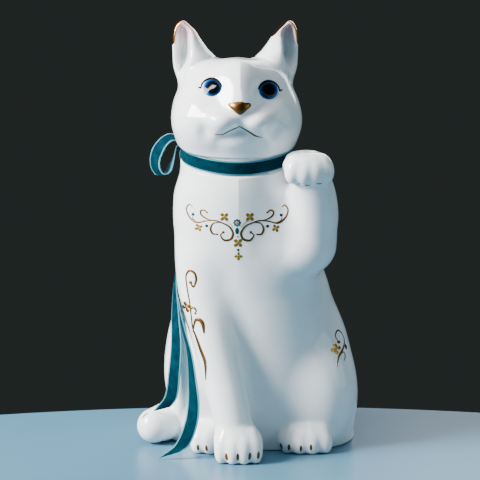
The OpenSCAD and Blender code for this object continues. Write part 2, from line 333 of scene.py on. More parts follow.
@dataclass(frozen=True)
class Swell:
    """A soft rise or hollow laid over the surface, shaped like a bell.

    Attributes:
        at: Its middle.
        spread: Its half-sizes, where the bell has sunk to about a third.
        lift: How far its middle moves the surface out.
        reach: How many half-sizes away it ends.
    """

    at: Point
    spread: Point
    lift: float
    reach: float = 2.2

    def box(self) -> tuple[Array, Array]:
        """Find the box round the shape.

        Returns:
            Its lowest and highest corner, in the shape's own frame.
        """
        at, away = np.array(self.at, float), self.reach * np.array(self.spread, float)
        return at - away, at + away

    def distance(self, x: Array, y: Array, z: Array) -> Array:
        """How far the surface moves out.

        Args:
            x: The points' X in the shape's own frame.
            y: Their Y.
            z: Their Z.

        Returns:
            The move at each point.
        """
        r = (((x - self.at[0]) / self.spread[0]) ** 2 + ((y - self.at[1]) / self.spread[1]) ** 2
             + ((z - self.at[2]) / self.spread[2]) ** 2)
        left_at_reach = 0.008
        return self.lift * (np.exp(-r) - left_at_reach)


@dataclass(frozen=True)
class Crest:
    """A sharp-topped ridge down the front: two flanks that meet at one edge.

    Attributes:
        line: The edge's X along Z.
        rise: Its height along Z.
        flank: How far each flank reaches.
        front: The Y that the ridge stays in front of.
        fading: How far in front of that Y it has its whole height.
        foremost: A Y in front of the whole figure.
    """

    line: Table
    rise: Table
    flank: float
    front: float
    fading: float = 12
    foremost: float = -120

    def box(self) -> tuple[Array, Array]:
        """Find the box round the shape.

        Returns:
            Its lowest and highest corner, in the shape's own frame.
        """
        xs = [row[1] for row in self.line]
        zs = [row[0] for row in self.rise]
        return (np.array([min(xs) - self.flank, self.foremost, min(zs)]),
                np.array([max(xs) + self.flank, self.front, max(zs)]))

    def distance(self, x: Array, y: Array, z: Array) -> Array:
        """How far the surface moves out.

        Args:
            x: The points' X in the shape's own frame.
            y: Their Y.
            z: Their Z.

        Returns:
            The move at each point.
        """
        u = np.clip(1 - np.abs(x - smooth_at(self.line, z)) / self.flank, 0, 1)
        fade = np.clip((self.front - y) / self.fading, 0, 1)
        return smooth_at(self.rise, z) * u * u * fade


@dataclass(frozen=True)
class Groove:
    """A square groove turned round the Z axis.

    Attributes:
        floor: The radius of its floor.
        half: Half its width.
        reach: The radius that it cuts out to.
    """

    floor: float
    half: float
    reach: float

    def box(self) -> tuple[Array, Array]:
        """Find the box round the shape.

        Returns:
            Its lowest and highest corner, in the shape's own frame.
        """
        corner = np.array([self.reach, self.reach, self.half])
        return -corner, corner

    def distance(self, x: Array, y: Array, z: Array) -> Array:
        """Distance from the surface, negative inside.

        Args:
            x: The points' X in the shape's own frame.
            y: Their Y.
            z: Their Z.

        Returns:
            The distance at each point.
        """
        r = np.sqrt(x * x + y * y)
        return np.maximum(np.maximum(self.floor - r, r - self.reach), np.abs(z) - self.half)


@dataclass(frozen=True)
class Item:
    """One shape of the field.

    Attributes:
        shape: What it is.
        op: How it joins what came before it.
        fillet: How wide the fillet is where it joins.
        casting: The casting it belongs to, if it adds clay.
        place: The frame it is described in.
    """

    shape: Ball | Limb | Column | Swell | Crest | Groove
    op: Op = Op.ADD
    fillet: float = 6.0
    casting: str = ""
    place: Place = Place()


@dataclass
class Field:
    """The porcelain's field of distances, in millimetres.

    Attributes:
        items: Its shapes, in the order in which they join.
    """

    items: list[Item] = field(default_factory=list)

    def region(self, item: Item) -> tuple[Array, Array]:
        """Find where an item changes something near the surface.

        Args:
            item: The item.

        Returns:
            The lowest and highest corner of that box.
        """
        low, high = item.shape.box()
        corners = np.array([item.place.outward((x, y, z)) for x in (low[0], high[0])
                            for y in (low[1], high[1]) for z in (low[2], high[2])])
        spare = 3
        reach = item.fillet + spare if item.op is not Op.LIFT else 0
        return corners.min(0) - reach, corners.max(0) + reach

    def join(self, item: Item, value: Array, x: Array, y: Array, z: Array) -> Array:
        """Join one item to the field at some points.

        Args:
            item: The item.
            value: The field's value there so far.
            x: The points' X.
            y: Their Y.
            z: Their Z.

        Returns:
            The field's new value at each point.
        """
        d = item.shape.distance(*item.place.inward(x, y, z))
        if item.op is Op.ADD:
            return smooth_min(value, d, item.fillet)
        if item.op is Op.CUT:
            return -smooth_min(-value, d, item.fillet)
        return value - d

    def at(self, points: Array) -> Array:
        """Read the field.

        Args:
            points: The points, one row each.

        Returns:
            The field's value at each.
        """
        value = np.full(len(points), FAR)
        for item in self.items:
            low, high = self.region(item)
            near = np.nonzero(((points > low) & (points < high)).all(1))[0]
            if len(near):
                p = points[near]
                value[near] = self.join(item, value[near], p[:, 0], p[:, 1], p[:, 2])
        return value

    def slope(self, points: Array, step: float = 0.12) -> Array:
        """Read the field's gradient.

        Args:
            points: The points, one row each.
            step: How far to either side the field is compared.

        Returns:
            The gradient at each, one row each.
        """
        out = np.empty_like(points)
        for i in range(3):
            shift = np.zeros(3)
            shift[i] = step
            out[:, i] = (self.at(points + shift) - self.at(points - shift)) / (2 * step)
        return out

    def grid(self, low: Array, high: Array, step: float) -> Array:
        """Fill a grid with the field's values.

        Args:
            low: The grid's first point.
            high: The point that it reaches at least.
            step: Its spacing.

        Returns:
            The values, along X, Y and Z.
        """
        axes = [np.arange(low[i], high[i] + step, step, dtype=np.float32) for i in range(3)]
        value = np.full([len(a) for a in axes], FAR, np.float32)
        for item in self.items:
            lo, hi = self.region(item)
            cut = [slice(*np.searchsorted(axes[i], (lo[i], hi[i]))) for i in range(3)]
            x, y, z = (axes[i][cut[i]] for i in range(3))
            if len(x) and len(y) and len(z):
                part = value[tuple(cut)]
                part[...] = self.join(item, part, x[:, None, None], y[None, :, None], z[None, None, :])
        return value

    def casting_of(self, points: Array) -> tuple[Array, list[str]]:
        """Which casting each point belongs to.

        Args:
            points: Points on the surface, one row each.

        Returns:
            An index for each point, and the castings' names in the order of the indices.
        """
        names = list(dict.fromkeys(i.casting for i in self.items if i.casting))
        best = np.full((len(names), len(points)), FAR)
        for item in self.items:
            if item.op is Op.ADD and item.casting:
                row = best[names.index(item.casting)]
                d = item.shape.distance(*item.place.inward(*points.T))
                np.minimum(row, d, out=row)
        return best.argmin(0), names


def surface_nets(value: Array, low: Array, step: float) -> tuple[Array, Array]:
    """Mesh the zero of a grid of values with quads.

    Args:
        value: The grid.
        low: Its first point.
        step: Its spacing.

    Returns:
        Points, one row each, and quads as rows of four indices.
    """
    inside = value < 0
    shape = np.array(value.shape)
    cells = shape - 1
    sums: list[Array] = []
    owners: list[Array] = []
    quads: list[Array] = []
    for axis in range(3):
        a = [slice(None)] * 3
        b = [slice(None)] * 3
        a[axis], b[axis] = slice(0, -1), slice(1, None)
        index = np.array(np.nonzero(inside[tuple(a)] != inside[tuple(b)])).T
        nxt = index.copy()
        nxt[:, axis] += 1
        f0, f1 = value[tuple(index.T)], value[tuple(nxt.T)]
        place = index.astype(float)
        place[:, axis] += f0 / (f0 - f1)
        u, v = (axis + 1) % 3, (axis + 2) % 3
        ring = []
        for du, dv in ((0, 0), (-1, 0), (-1, -1), (0, -1)):
            cell = index.copy()
            cell[:, u] += du
            cell[:, v] += dv
            ring.append(np.ravel_multi_index(tuple(np.clip(cell, 0, cells - 1).T), tuple(cells)))
            owners.append(ring[-1])
            sums.append(place)
        loop = np.stack(ring, 1)
        flip = f0 > f1
        loop[flip] = loop[flip][:, ::-1]
        quads.append(loop)
    owner = np.concatenate(owners)
    place = np.concatenate(sums)
    ids, back = np.unique(owner, return_inverse=True)
    count = np.bincount(back)
    points = np.stack([np.bincount(back, place[:, i]) / count for i in range(3)], 1)
    faces = np.searchsorted(ids, np.concatenate(quads))
    return points * step + low, faces


# ---- The porcelain ------------------------------------------------------------------


def scaled(table: Table, along: float, by: float) -> Table:
    """Turn a table of shares into a table of sizes.

    Args:
        table: Rows of (share of the length, share of the size).
        along: The whole length.
        by: The whole size.

    Returns:
        Rows of (place, size) in millimetres.
    """
    return tuple((place * along, value * by) for place, value in table)


@dataclass
class Porcelain:
    """The cat's castings, with the sizes that they share with the frame.

    Attributes:
        body_h: Height of the torso up to the middle of the neck.
        body_w: Width of the seat.
        body_d: Depth of the torso's main casting.
        lean_x: Where the chest and neck stand in X, to one side of the seat.
        neck_r: Radius of the neck under the ribbon.
        neck_tilt: How far the neck leans forward, in degrees.
        head_w: Width of the head.
        head_h: Height of the head without its ears.
        head_d: Depth of the head.
        head_turn: How far the head is turned, in degrees.
        ear_h: Height of the ears above the crown.
        leg_r: Radius of the standing foreleg.
        arm_r: Radius of the raised foreleg.
        paw_r: Half-width of the front paws.
        foot_r: Half-width of the hind paws.
        tail_r: Radius of the tail.
        plate_t: Thickness of the plate that closes the seat.
        ear_far: The ears' outer edge: (share of the ear's height, share of half the head's width).
        ear_near: The ears' inner edge, in the same way.
        low: The grid's lowest corner.
        high: The grid's highest corner.
        step: The grid's spacing.
        field: The field that the castings are laid in.
    """

    body_h: float = 212
    body_w: float = 134
    body_d: float = 92
    lean_x: float = -16
    neck_r: float = 38
    neck_tilt: float = 15
    head_w: float = 88
    head_h: float = 64
    head_d: float = 84
    head_turn: float = 4
    ear_h: float = 26
    leg_r: float = 13
    arm_r: float = 16
    paw_r: float = 17
    foot_r: float = 19
    tail_r: float = 12.5
    plate_t: float = 5
    ear_far: Table = ((-0.75, 0.88), (-0.3, 0.965), (0, 0.984), (0.4, 0.986), (0.7, 0.969),
                      (0.86, 0.930), (0.91, 0.908), (0.94, 0.885), (0.973, 0.845))
    ear_near: Table = ((-0.75, 0.50), (-0.3, 0.22), (0, 0.31), (0.16, 0.405), (0.4, 0.515),
                       (0.7, 0.635), (0.86, 0.737), (0.91, 0.764), (0.94, 0.785), (0.973, 0.830))
    low: Point = (-96.0, -80.0, -6.0)
    high: Point = (80.0, 92.0, 310.0)
    step: float = 1.0
    field: Field = field(default_factory=Field)

    def __post_init__(self) -> None:
        """Lay out the frames of the neck and the head, and fill the field."""
        self.neck = (self.lean_x, -15.0, self.body_h)
        self.on_neck = Place(self.neck, 0, self.neck_tilt)
        self.on_head = Place((self.neck[0] - 1, self.neck[1], self.neck[2]), self.head_turn)
        self.torso()
        self.foreleg()
        self.arm()
        self.hind_paws()
        self.tail()
        self.head()
        self.ears()
        self.face()
        self.neck_band()
        self.foot()

    def add(self, casting: str, shape: Ball | Limb | Column, fillet: float,
            place: Place = Place()) -> None:
        """Add clay to the field."""
        self.field.items.append(Item(shape, Op.ADD, fillet, casting, place))

    def cut(self, shape: Ball | Limb | Column | Groove, fillet: float, place: Place = Place()) -> None:
        """Take clay away."""
        self.field.items.append(Item(shape, Op.CUT, fillet, "", place))

    def lift(self, shape: Swell | Crest, place: Place = Place()) -> None:
        """Model the surface softly."""
        self.field.items.append(Item(shape, Op.LIFT, 0, "", place))

    def torso(self) -> None:
        """The main casting with its haunches and shoulders."""
        h, w, d, lean = self.body_h, self.body_w, self.body_d, self.lean_x
        self.add("torso", Column(
            scaled(((0, 2), (0.30, 0), (0.50, -3.5), (0.62, -7), (0.78, lean + 0.5), (1.1, lean)), h, 1),
            scaled(((0, 23), (0.30, 20), (0.50, 12), (0.68, 0), (0.85, -10), (0.95, -14), (1.1, -15)), h, 1),
            scaled(((0, 0.508), (0.10, 0.495), (0.24, 0.466), (0.40, 0.435), (0.55, 0.40), (0.70, 0.345),
                    (0.85, 0.315), (0.93, 0.29), (1.1, 0.28)), h, w),
            scaled(((0, 0.50), (0.20, 0.56), (0.38, 0.575), (0.55, 0.545), (0.72, 0.50), (0.86, 0.45),
                    (0.95, 0.40), (1.1, 0.38)), h, d),
            -20, h + 20, 2.1), 1)
        self.add("torso", Ball((1 + w * 0.258, 24, 50), (w * 0.212, 37, 46)), 20)
        self.add("torso", Ball((1 + w * 0.33, -3, 36), (w * 0.165, 23, 34)), 18)
        self.add("torso", Ball((1 - w * 0.265, 24, 60), (w * 0.225, 34, 38)), 22)
        self.add("torso", Ball((1 - w * 0.32, 2, 48), (w * 0.15, 20, 26)), 18)
        self.add("torso", Ball((1, 42, 34), (52, 34, 32)), 20)
        self.add("torso", Limb(((lean - 22, -20, h * 0.66, 16), (lean - 23, -12, h * 0.84, 14))), 16)
        self.add("torso", Limb(((lean + 32, -18, h * 0.66, 18), (lean + 26, -10, h * 0.84, 15))), 18)
        self.lift(Crest(((100, lean + 2), (200, lean + 0.5)),
                        ((105, 0), (135, 0.2), (165, 1.0), (192, 1.6), (204, 0.9)), 24, -20))

    def foreleg(self) -> None:
        """The standing foreleg and its paw."""
        lean, h, r = self.lean_x, self.body_h, self.leg_r
        self.add("right_foreleg", Limb((
            (lean - 21, -14, h * 0.66, r + 4), (lean - 23.5, -22, h * 0.557, r + 4),
            (lean - 21, -27, h * 0.49, r + 3), (lean - 17.5, -31, h * 0.425, r + 2.2),
            (lean - 13.5, -34.5, h * 0.344, r + 1.5), (lean - 9.5, -37.5, h * 0.264, r + 1.2),
            (lean - 5.5, -41, h * 0.184, r + 0.6), (lean - 2.5, -43, h * 0.118, r),
            (lean - 1, -44, 16, r - 0.5))), 12)
        self.paw("right_foreleg", Place((lean + 1, -46, 12)), self.paw_r, 16, 12.5, 6)

    def paw(self, casting: str, place: Place, half_w: float, half_l: float, half_h: float,
            fillet: float) -> None:
        """A domed paw with four toes across its front, parted by grooves.

        Args:
            casting: The casting it belongs to.
            place: Its own frame, with the toes towards minus Y.
            half_w: Half its width.
            half_l: Half its length.
            half_h: Half its height.
            fillet: How softly it joins the limb.
        """
        self.add(casting, Ball((0, half_l * 0.1, 0), (half_w * 0.98, half_l * 0.98, half_h)), fillet, place)
        for k in (-1.5, -0.5, 0.5, 1.5):
            x = k * half_w * 0.45
            y = -half_l * (0.72 - abs(k) * 0.15)
            self.add(casting, Ball((x, y, -half_h * 0.3),
                                   (half_w * 0.29, half_l * 0.34, half_h * 0.74)), 3.5, place)
            self.add(casting, Ball((x * 0.8, y * 0.5, half_h * 0.05),
                                   (half_w * 0.33, half_l * 0.46, half_h * 0.86)), 4.5, place)

    def arm(self) -> None:
        """The raised left foreleg, bent at the elbow and the wrist."""
        lean, h, r = self.lean_x, self.body_h, self.arm_r
        self.add("raised_arm", Limb((
            (lean + 24, -18, h * 0.80, r + 4), (lean + 36, -24, h * 0.74, r + 3),
            (lean + 46, -29, h * 0.70, r + 1))), 16)
        self.add("raised_arm", Limb((
            (lean + 51, -31, h * 0.695, r + 0.5), (lean + 52.5, -34, h * 0.75, r),
            (lean + 53, -38, h * 0.80, r), (lean + 51.5, -43, h * 0.86, r - 0.5),
            (lean + 49, -48, h * 0.915, r - 2))), 10)
        self.paw("raised_arm", Place((lean + 47.2, -54, h * 0.953 + 1.6), 8, 16), self.paw_r, 15, 9.4, 6)

    def hind_paws(self) -> None:
        """Both hind paws, reaching back under the belly."""
        r = self.foot_r
        for side, name in ((1, "left_hind_paw"), (-1, "right_hind_paw")):
            x = 1 + side * self.body_w * 0.235
            self.add(name, Limb(((x, -8, 10, r * 0.6), (x + side * 3, 24, 12, r * 0.6))), 7)
            self.paw(name, Place((x, -19, 10)), r, 17, 10.5, 6)

    def tail(self) -> None:
        """The tail, laid round the cat's right side with its end turned out."""
        r = self.tail_r
        self.add("tail", Limb((
            (-4, 64, 17, r), (-20, 69, 15, r), (-36, 66, 14, r), (-49, 56, 14, r),
            (-57, 43, 15, r), (-59, 29, 15.5, r), (-61, 17, 15.5, r + 0.5),
            (-67, 6, 14.5, r + 1), (-75.5, -1.5, 13, r))), 4)

    def head(self) -> None:
        """The skull with its cheeks, brow, muzzle and chin."""
        w, h, add = self.head_w, self.head_h, self.add
        front = ((-14, 33), (0, 38), (12, 41.5), (24, 43.5), (34, 43.5), (44, 41), (52, 36.5), (58, 30),
                 (62, 22), (64, 14))
        back = ((-14, 26), (0, 33), (20, 38), (34, 38), (46, 34), (56, 25), (62, 13), (64, 6))
        z = np.array([row[0] for row in front], float)
        f = np.array([row[1] for row in front], float)
        b = smooth_at(back, z)
        add("head", Column(
            ((-20, 0), (80, 0)), tuple(zip(z, (b - f) / 2)),
            scaled(((-0.25, 0.36), (0, 0.435), (0.12, 0.472), (0.33, 0.505), (0.52, 0.49), (0.66, 0.45),
                    (0.80, 0.395), (0.90, 0.33), (0.97, 0.22), (1.0, 0.12)), h, w),
            tuple(zip(z, (b + f) / 2)), -14, h - 1.6, 2.15), 5, self.on_head)
        nose_y, nose_z = -53, 30
        add("head", Limb(((0, -30, 50, 11), (0, nose_y + 13, nose_z + 6, 9),
                          (0, nose_y + 8, nose_z - 1, 7.5))), 14, self.on_head)
        for side in (-1, 1):
            add("head", Ball((side * 11, nose_y + 15.5, nose_z - 8.6), (12.2, 16.5, 8.4)), 4, self.on_head)
            add("head", Ball((side * 20, nose_y + 31, nose_z - 11), (19.5, 20, 17)), 14, self.on_head)
        add("head", Ball((0, nose_y + 19.5, nose_z - 21), (14, 12, 8.5)), 5, self.on_head)

    def ears(self) -> None:
        """Both ears: a hollowed cone that runs into the crown."""
        half = self.head_w / 2
        depth = ((-0.75, 0.11), (-0.4, 0.19), (0, 0.21), (0.4, 0.16), (0.7, 0.11), (1.0, 0.03))
        places = np.concatenate([np.linspace(-0.75, 0.7, 12), [0.78, 0.86, 0.91, 0.94, 0.973]])
        f = smooth_at(self.ear_far, places) * half
        n = smooth_at(self.ear_near, places) * half
        b = smooth_at(depth, places) * self.head_d
        z = self.head_h + self.ear_h * places
        # the hollow opens out upwards from nothing at the ear's root
        rim = 2.0
        taper = smooth_at(((-0.6, 0.02), (-0.42, 0.35), (-0.25, 0.62), (0, 0.9), (0.25, 1.0), (1, 1.0)),
                          places)
        share = smooth_at(((-0.6, 0.27), (0, 0.40), (0.4, 0.56), (0.7, 0.72), (1.0, 0.6)), places)
        wide = np.maximum((f - n) / 2 * share - 1.2, 0.4) * taper + 0.2
        deep = np.maximum((b + 0.8) * taper, 0.25)
        for side, name in ((1, "left_ear"), (-1, "right_ear")):
            mid = side * (f + n) / 2
            self.add(name, Column(tuple(zip(z, mid)), ((0, 2), (100, 2)), tuple(zip(z, (f - n) / 2)),
                                  tuple(zip(z, b)), z[0], z[-1] + 0.2), 5, self.on_head)
            self.cut(Column(tuple(zip(z, side * (f - rim - wide))), tuple(zip(z, -8 - 4 * (1 - taper))),
                            tuple(zip(z, wide)), tuple(zip(z, deep)), z[1], z[-1] - 3.6), 4, self.on_head)

    def face(self) -> None:
        """Soft modelling of the face."""
        h = self.head_h
        for side in (-1, 1):
            self.lift(Swell((side * 16, -42, h * 0.67), (12, 13, 9), -0.9), self.on_head)
            self.lift(Swell((side * 23, -46, 15.5), (5, 12, 6.5), -2.2), self.on_head)
        self.lift(Crest(((0, 0), (100, 0)), ((30, 0), (38, 1.2), (50, 1.9), (58, 1.6), (66, 0)), 14, 10),
                  self.on_head)

    def neck_band(self) -> None:
        """The straight neck that the ribbon is tied round."""
        middle, half = ((-40, 0), (40, 0)), ((-40, self.neck_r), (40, self.neck_r))
        self.add("torso", Column(middle, middle, half, half, -14, 14), 3, self.on_neck)
        self.cut(Groove(self.neck_r, 6, self.neck_r + 12), 1.5, self.on_neck)

    def foot(self) -> None:
        """The ground foot: flat on the table, open for the closing plate."""
        middle, half = ((-90, 0), (0, 0)), ((-90, 200), (0, 200))
        self.cut(Column(middle, middle, half, half, -90, 0), 1.2)
        inset, clearance = 7.7, 0.4
        half_x, half_y = self.body_w * 0.49 - inset, self.body_d * 0.5 - inset
        self.cut(Column(((-20, 2), (0, 2)), ((-20, 23), (0, 23)), ((-20, half_x), (0, half_x)),
                        ((-20, half_y), (0, half_y)), -20, self.plate_t + clearance), 0.6)

    def ear_marks(self, points: Array, normals: Array) -> dict[str, Array]:
        """Where the ears are gilt and stained.

        Args:
            points: The porcelain's points.
            normals: The surface's direction at each.

        Returns:
            For each point, how far inside the rim's gilding it is in millimetres, and how
            strong the pink stain is.
        """
        x, y, z = self.on_head.inward(*points.T)
        share = (z - self.head_h) / self.ear_h
        half = self.head_w / 2
        out = np.abs(x)
        from_far = smooth_at(self.ear_far, share) * half - out
        from_near = out - smooth_at(self.ear_near, share) * half
        gilt_far = smooth_at(((0.26, -1), (0.36, 1.3), (0.6, 1.9), (1.0, 2.0)), share) - from_far
        gilt_near = smooth_at(((0.48, -1), (0.6, 1.5), (1.0, 1.8)), share) - from_near
        gilt_top = 1.3 - (0.973 - share) * self.ear_h
        inside = np.clip((from_far - 0.8) / 1.5, 0, 1) * np.clip((from_near - 0.5) / 2.5, 0, 1)
        facing = np.clip(-normals[:, 1] * 2, 0, 1)
        gilt = np.minimum(np.maximum(np.maximum(gilt_far, gilt_near), gilt_top), 3.0 - y)
        strength = 0.85 * smooth_at(((0.1, 0), (0.3, 0.12), (0.5, 0.5), (0.68, 0.95), (1.0, 1.0)), share)
        return {"gilding": gilt, "blush": strength * inside * facing}

    def mesh(self) -> "Surface":
        """Mesh the field, part it into castings and put each in the scene.

        Returns:
            The whole surface, for laying things on.
        """
        low = np.array(self.low)
        value = self.field.grid(low, np.array(self.high), self.step)
        points, quads = surface_nets(value, low, self.step)
        LOG.info("porcelain: %d points, %d quads", len(points), len(quads))
        for _ in range(2):  # draw the points onto the field's zero
            d = self.field.at(points)
            g = self.field.slope(points)
            least = 0.05
            move = d[:, None] * g / np.maximum((g * g).sum(1, keepdims=True), least)
            points = points - np.clip(move, -self.step, self.step)
        surface = Surface(self.field, points, quads)
        normals = surface.normal(points)
        owner, names = self.field.casting_of(points[quads].mean(1))
        marks = self.ear_marks(points, normals)
        for i, name in enumerate(names):
            build_casting(name, points, normals, quads[owner == i], marks if name.endswith("ear") else {})
        return surface


def closing_faces(faces: Array) -> list[list[int]]:
    """The loops that bound an open mesh, each as a face that closes it.

    Args:
        faces: Quads, as rows of indices.

    Returns:
        The closing faces, wound to match.
    """
    edges = {(int(q[k]), int(q[(k + 1) % 4])) for q in faces for k in range(4)}
    after: dict[int, list[int]] = {}
    for a, b in edges:
        if (b, a) not in edges:
            after.setdefault(b, []).append(a)
    loops = []
    while after:
        start = next(iter(after))
        loop, here = [], start
        while here in after:
            loop.append(here)
            ahead = after[here]
            step = ahead.pop()
            if not ahead:
                del after[here]
            here = step
            if here == start:
                break
        if len(loop) > 2:
            loops.append(loop)
    return loops


def build_casting(name: str, points: Array, normals: Array, quads: Array,
                  marks: dict[str, Array]) -> bpy.types.Object:
    """Make one casting from its share of the porcelain's quads.

    Args:
        name: The casting, which is also the frame's node that it stands for.
        points: All the porcelain's points.
        normals: The surface's direction at each point.
        quads: The casting's quads.
        marks: Values at the points that the casting's finish reads.

    Returns:
        The casting's object.
    """
    short, lip_in, sag = 9, 2.5, 3.0  # a short loop is closed by one face, a long one by a sunk lid
    used, back = np.unique(quads, return_inverse=True)
    faces = back.reshape(quads.shape)
    place, out = points[used], normals[used]
    caps: list[list[int]] = []
    for loop in closing_faces(faces):
        n, start = len(loop), len(place)
        if n < short:
            caps.append(loop)
            continue
        lip = place[loop] - out[loop] * lip_in
        middle = lip.mean(0) - out[loop].mean(0) * sag
        place = np.concatenate([place, lip, [middle]])
        out = np.concatenate([out, np.zeros((n + 1, 3))])
        for k in range(n):
            ahead = (k + 1) % n
            caps.append([loop[k], loop[ahead], start + ahead, start + k])
            caps.append([start + k, start + ahead, start + n])
    mesh = bpy.data.meshes.new(f"{name}_porcelain")
    mesh.from_pydata((place * MM).tolist(), [], faces.tolist() + caps)
    mesh.shade_smooth()
    mesh.normals_split_custom_set_from_vertices(out.tolist())
    for mark, value in marks.items():
        layer = mesh.attributes.new(mark, "FLOAT", "POINT")
        layer.data.foreach_set("value", np.concatenate([value[used], np.zeros(len(place) - len(used))]))
    obj = bpy.data.objects.new(f"{name}_porcelain", mesh)
    bpy.context.collection.objects.link(obj)
    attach(obj, BODY)
    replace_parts(obj, name)
    mesh.materials.append(MATERIALS["ear_porcelain" if marks else "porcelain"])
    LOG.info("%s: %d quads, closed by %d faces", obj.name, len(faces), len(caps))
    return obj


# ---- Finishes -----------------------------------------------------------------------

Socket = bpy.types.NodeSocket
Rgba = tuple[float, float, float, float]


def linear(code: str) -> Rgba:
    """Turn an sRGB hex code into linear colour.

    Args:
        code: Six hex digits after a hash.

    Returns:
        Linear red, green, blue and an alpha of one.
    """
    parts = [int(code[i:i + 2], 16) / 255 for i in (1, 3, 5)]
    return tuple(c / 12.92 if c <= 0.04045 else ((c + 0.055) / 1.055) ** 2.4 for c in parts) + (1.0,)


def plug(node: bpy.types.Node, sockets: dict[str | int, object]) -> None:
    """Set or link a node's inputs.

    Args:
        node: The node.
        sockets: For each input's name or index, a constant or another node's output.
    """
    for key, value in sockets.items():
        if isinstance(value, Socket):
            node.id_data.links.new(value, node.inputs[key])
        else:
            node.inputs[key].default_value = value


def add_node(tree: bpy.types.NodeTree, kind: str, sockets: dict[str | int, object] | None = None,
             **settings: object) -> bpy.types.Node:
    """Add a shader node with its settings and links.

    Args:
        tree: The tree to add to.
        kind: The node's type.
        sockets: For each input's name or index, a constant or another node's output.
        settings: The node's own properties.

    Returns:
        The node.
    """
    node = tree.nodes.new(kind)
    for key, value in settings.items():
        setattr(node, key, value)
    plug(node, sockets or {})
    return node


class Noise(Enum):
    """Named grains, with the size of one grain in millimetres and its detail.

    The velvet's pile and the enamel's pigment are finer than this. They are drawn as coarse as
    they need to be to show.
    """

    KILN = (14.0, 2.0)
    ORANGE_PEEL = (0.9, 1.0)
    BRUSH = (0.5, 3.0)
    PILE = (0.22, 2.0)
    CRUSH = (5.0, 2.0)
    GRIT = (0.35, 4.0)
    SPECK = (0.16, 1.0)

    def at(self, place: Socket) -> dict[str | int, object]:
        """The noise texture's inputs for coordinates in metres."""
        return {"Vector": place, "Scale": 1 / MM / self.value[0], "Detail": self.value[1]}


def between(grain: Socket, low: float, high: float) -> dict[str | int, object]:
    """The inputs that spread a grain, most of which lies from 0.3 to 0.7, between two values."""
    return {"Value": grain, "From Min": 0.3, "From Max": 0.7, "To Min": low, "To Max": high}


@dataclass(frozen=True)
class Finish:
    """A real material with its surface process.

    Attributes:
        name: The material and its process, as a workshop would call it.
        colour: Its base colour, as sRGB hex.
        rough: Roughness of its surface.
    """

    name: str
    colour: str
    rough: float

    def base(self) -> tuple[bpy.types.Material, bpy.types.NodeTree, bpy.types.Node, Socket]:
        """Start the material.

        Returns:
            The material, its tree, its shader and its coordinates in metres.
        """
        mat = bpy.data.materials.new(self.name)
        mat.use_nodes = True
        mat.diffuse_color = linear(self.colour)
        tree = mat.node_tree
        shader = tree.nodes["Principled BSDF"]
        plug(shader, {"Base Color": linear(self.colour), "Roughness": self.rough})
        return mat, tree, shader, add_node(tree, "ShaderNodeTexCoord").outputs["Object"]

    def mottled(self, tree: bpy.types.NodeTree, grain: Socket, tone: Socket | Rgba, other: str,
                low: float = 0.0, high: float = 1.0) -> Socket:
        """A colour that turns towards another where a grain is high.

        Args:
            tree: The tree to add to.
            grain: The grain's value.
            tone: The colour where the grain is low.
            other: The colour where it is high, as sRGB hex.
            low: How much of the other colour there is where the grain is low.
            high: How much of it there is where the grain is high.

        Returns:
            The colour.
        """
        share = add_node(tree, "ShaderNodeMapRange", between(grain, low, high)).outputs[0]
        return add_node(tree, "ShaderNodeMix", {0: share, 6: tone, 7: linear(other)},
                        data_type="RGBA").outputs[2]

    def build(self) -> bpy.types.Material:
        """Make the material."""
        return self.base()[0]


@dataclass(frozen=True)
class Glaze(Finish):
    """Clear feldspar glaze over white hard-paste porcelain, with blush and gilding where marked.

    Attributes:
        pooled: The colour where the glaze lies thicker.
        blush: The pink stain sprayed inside the ears.
        gilt: Burnished gold on the ears' rims.
        marked: Whether the casting carries the blush and the rims' gilding.
        peel: The depth of the glaze's orange peel, in millimetres.
        uneven: How much rougher the orange peel's hollows are.
    """

    pooled: str = "#E9F0F3"
    blush: str = "#C9929B"
    gilt: str = "#B27E3C"
    marked: bool = False
    peel: float = 0.004
    uneven: float = 0.03

    def build(self) -> bpy.types.Material:
        """Make the material.

        Returns:
            The material.
        """
        mat, tree, shader, place = self.base()
        pool = add_node(tree, "ShaderNodeTexNoise", Noise.KILN.at(place)).outputs[0]
        peel = add_node(tree, "ShaderNodeTexNoise", Noise.ORANGE_PEEL.at(place)).outputs[0]
        rough = add_node(tree, "ShaderNodeMapRange", between(peel, self.rough, self.rough + self.uneven))
        relief = add_node(tree, "ShaderNodeBump", {"Distance": self.peel * MM, "Height": peel})
        body = self.mottled(tree, pool, linear(self.colour), self.pooled)
        if self.marked:
            stain = add_node(tree, "ShaderNodeAttribute", attribute_name="blush").outputs["Fac"]
            body = add_node(tree, "ShaderNodeMix", {0: stain, 6: body, 7: linear(self.blush)},
                            data_type="RGBA").outputs[2]
            rim = add_node(tree, "ShaderNodeAttribute", attribute_name="gilding").outputs["Fac"]
            edge = add_node(tree, "ShaderNodeMapRange", {"Value": rim, "From Min": -0.15, "From Max": 0.1})
            gold = add_node(tree, "ShaderNodeBsdfPrincipled",
                            {"Base Color": linear(self.gilt), "Metallic": 1.0, "Roughness": 0.24})
            mixed = add_node(tree, "ShaderNodeMixShader",
                             {0: edge.outputs[0], 1: shader.outputs[0], 2: gold.outputs[0]})
            plug(tree.nodes["Material Output"], {"Surface": mixed.outputs[0]})
        plug(shader, {"Base Color": body, "Roughness": rough.outputs[0], "IOR": 1.5,
                      "Subsurface Weight": 0.12, "Subsurface Radius": (1.0, 0.9, 0.8),
                      "Subsurface Scale": 2.5 * MM, "Normal": relief.outputs[0]})
        return mat


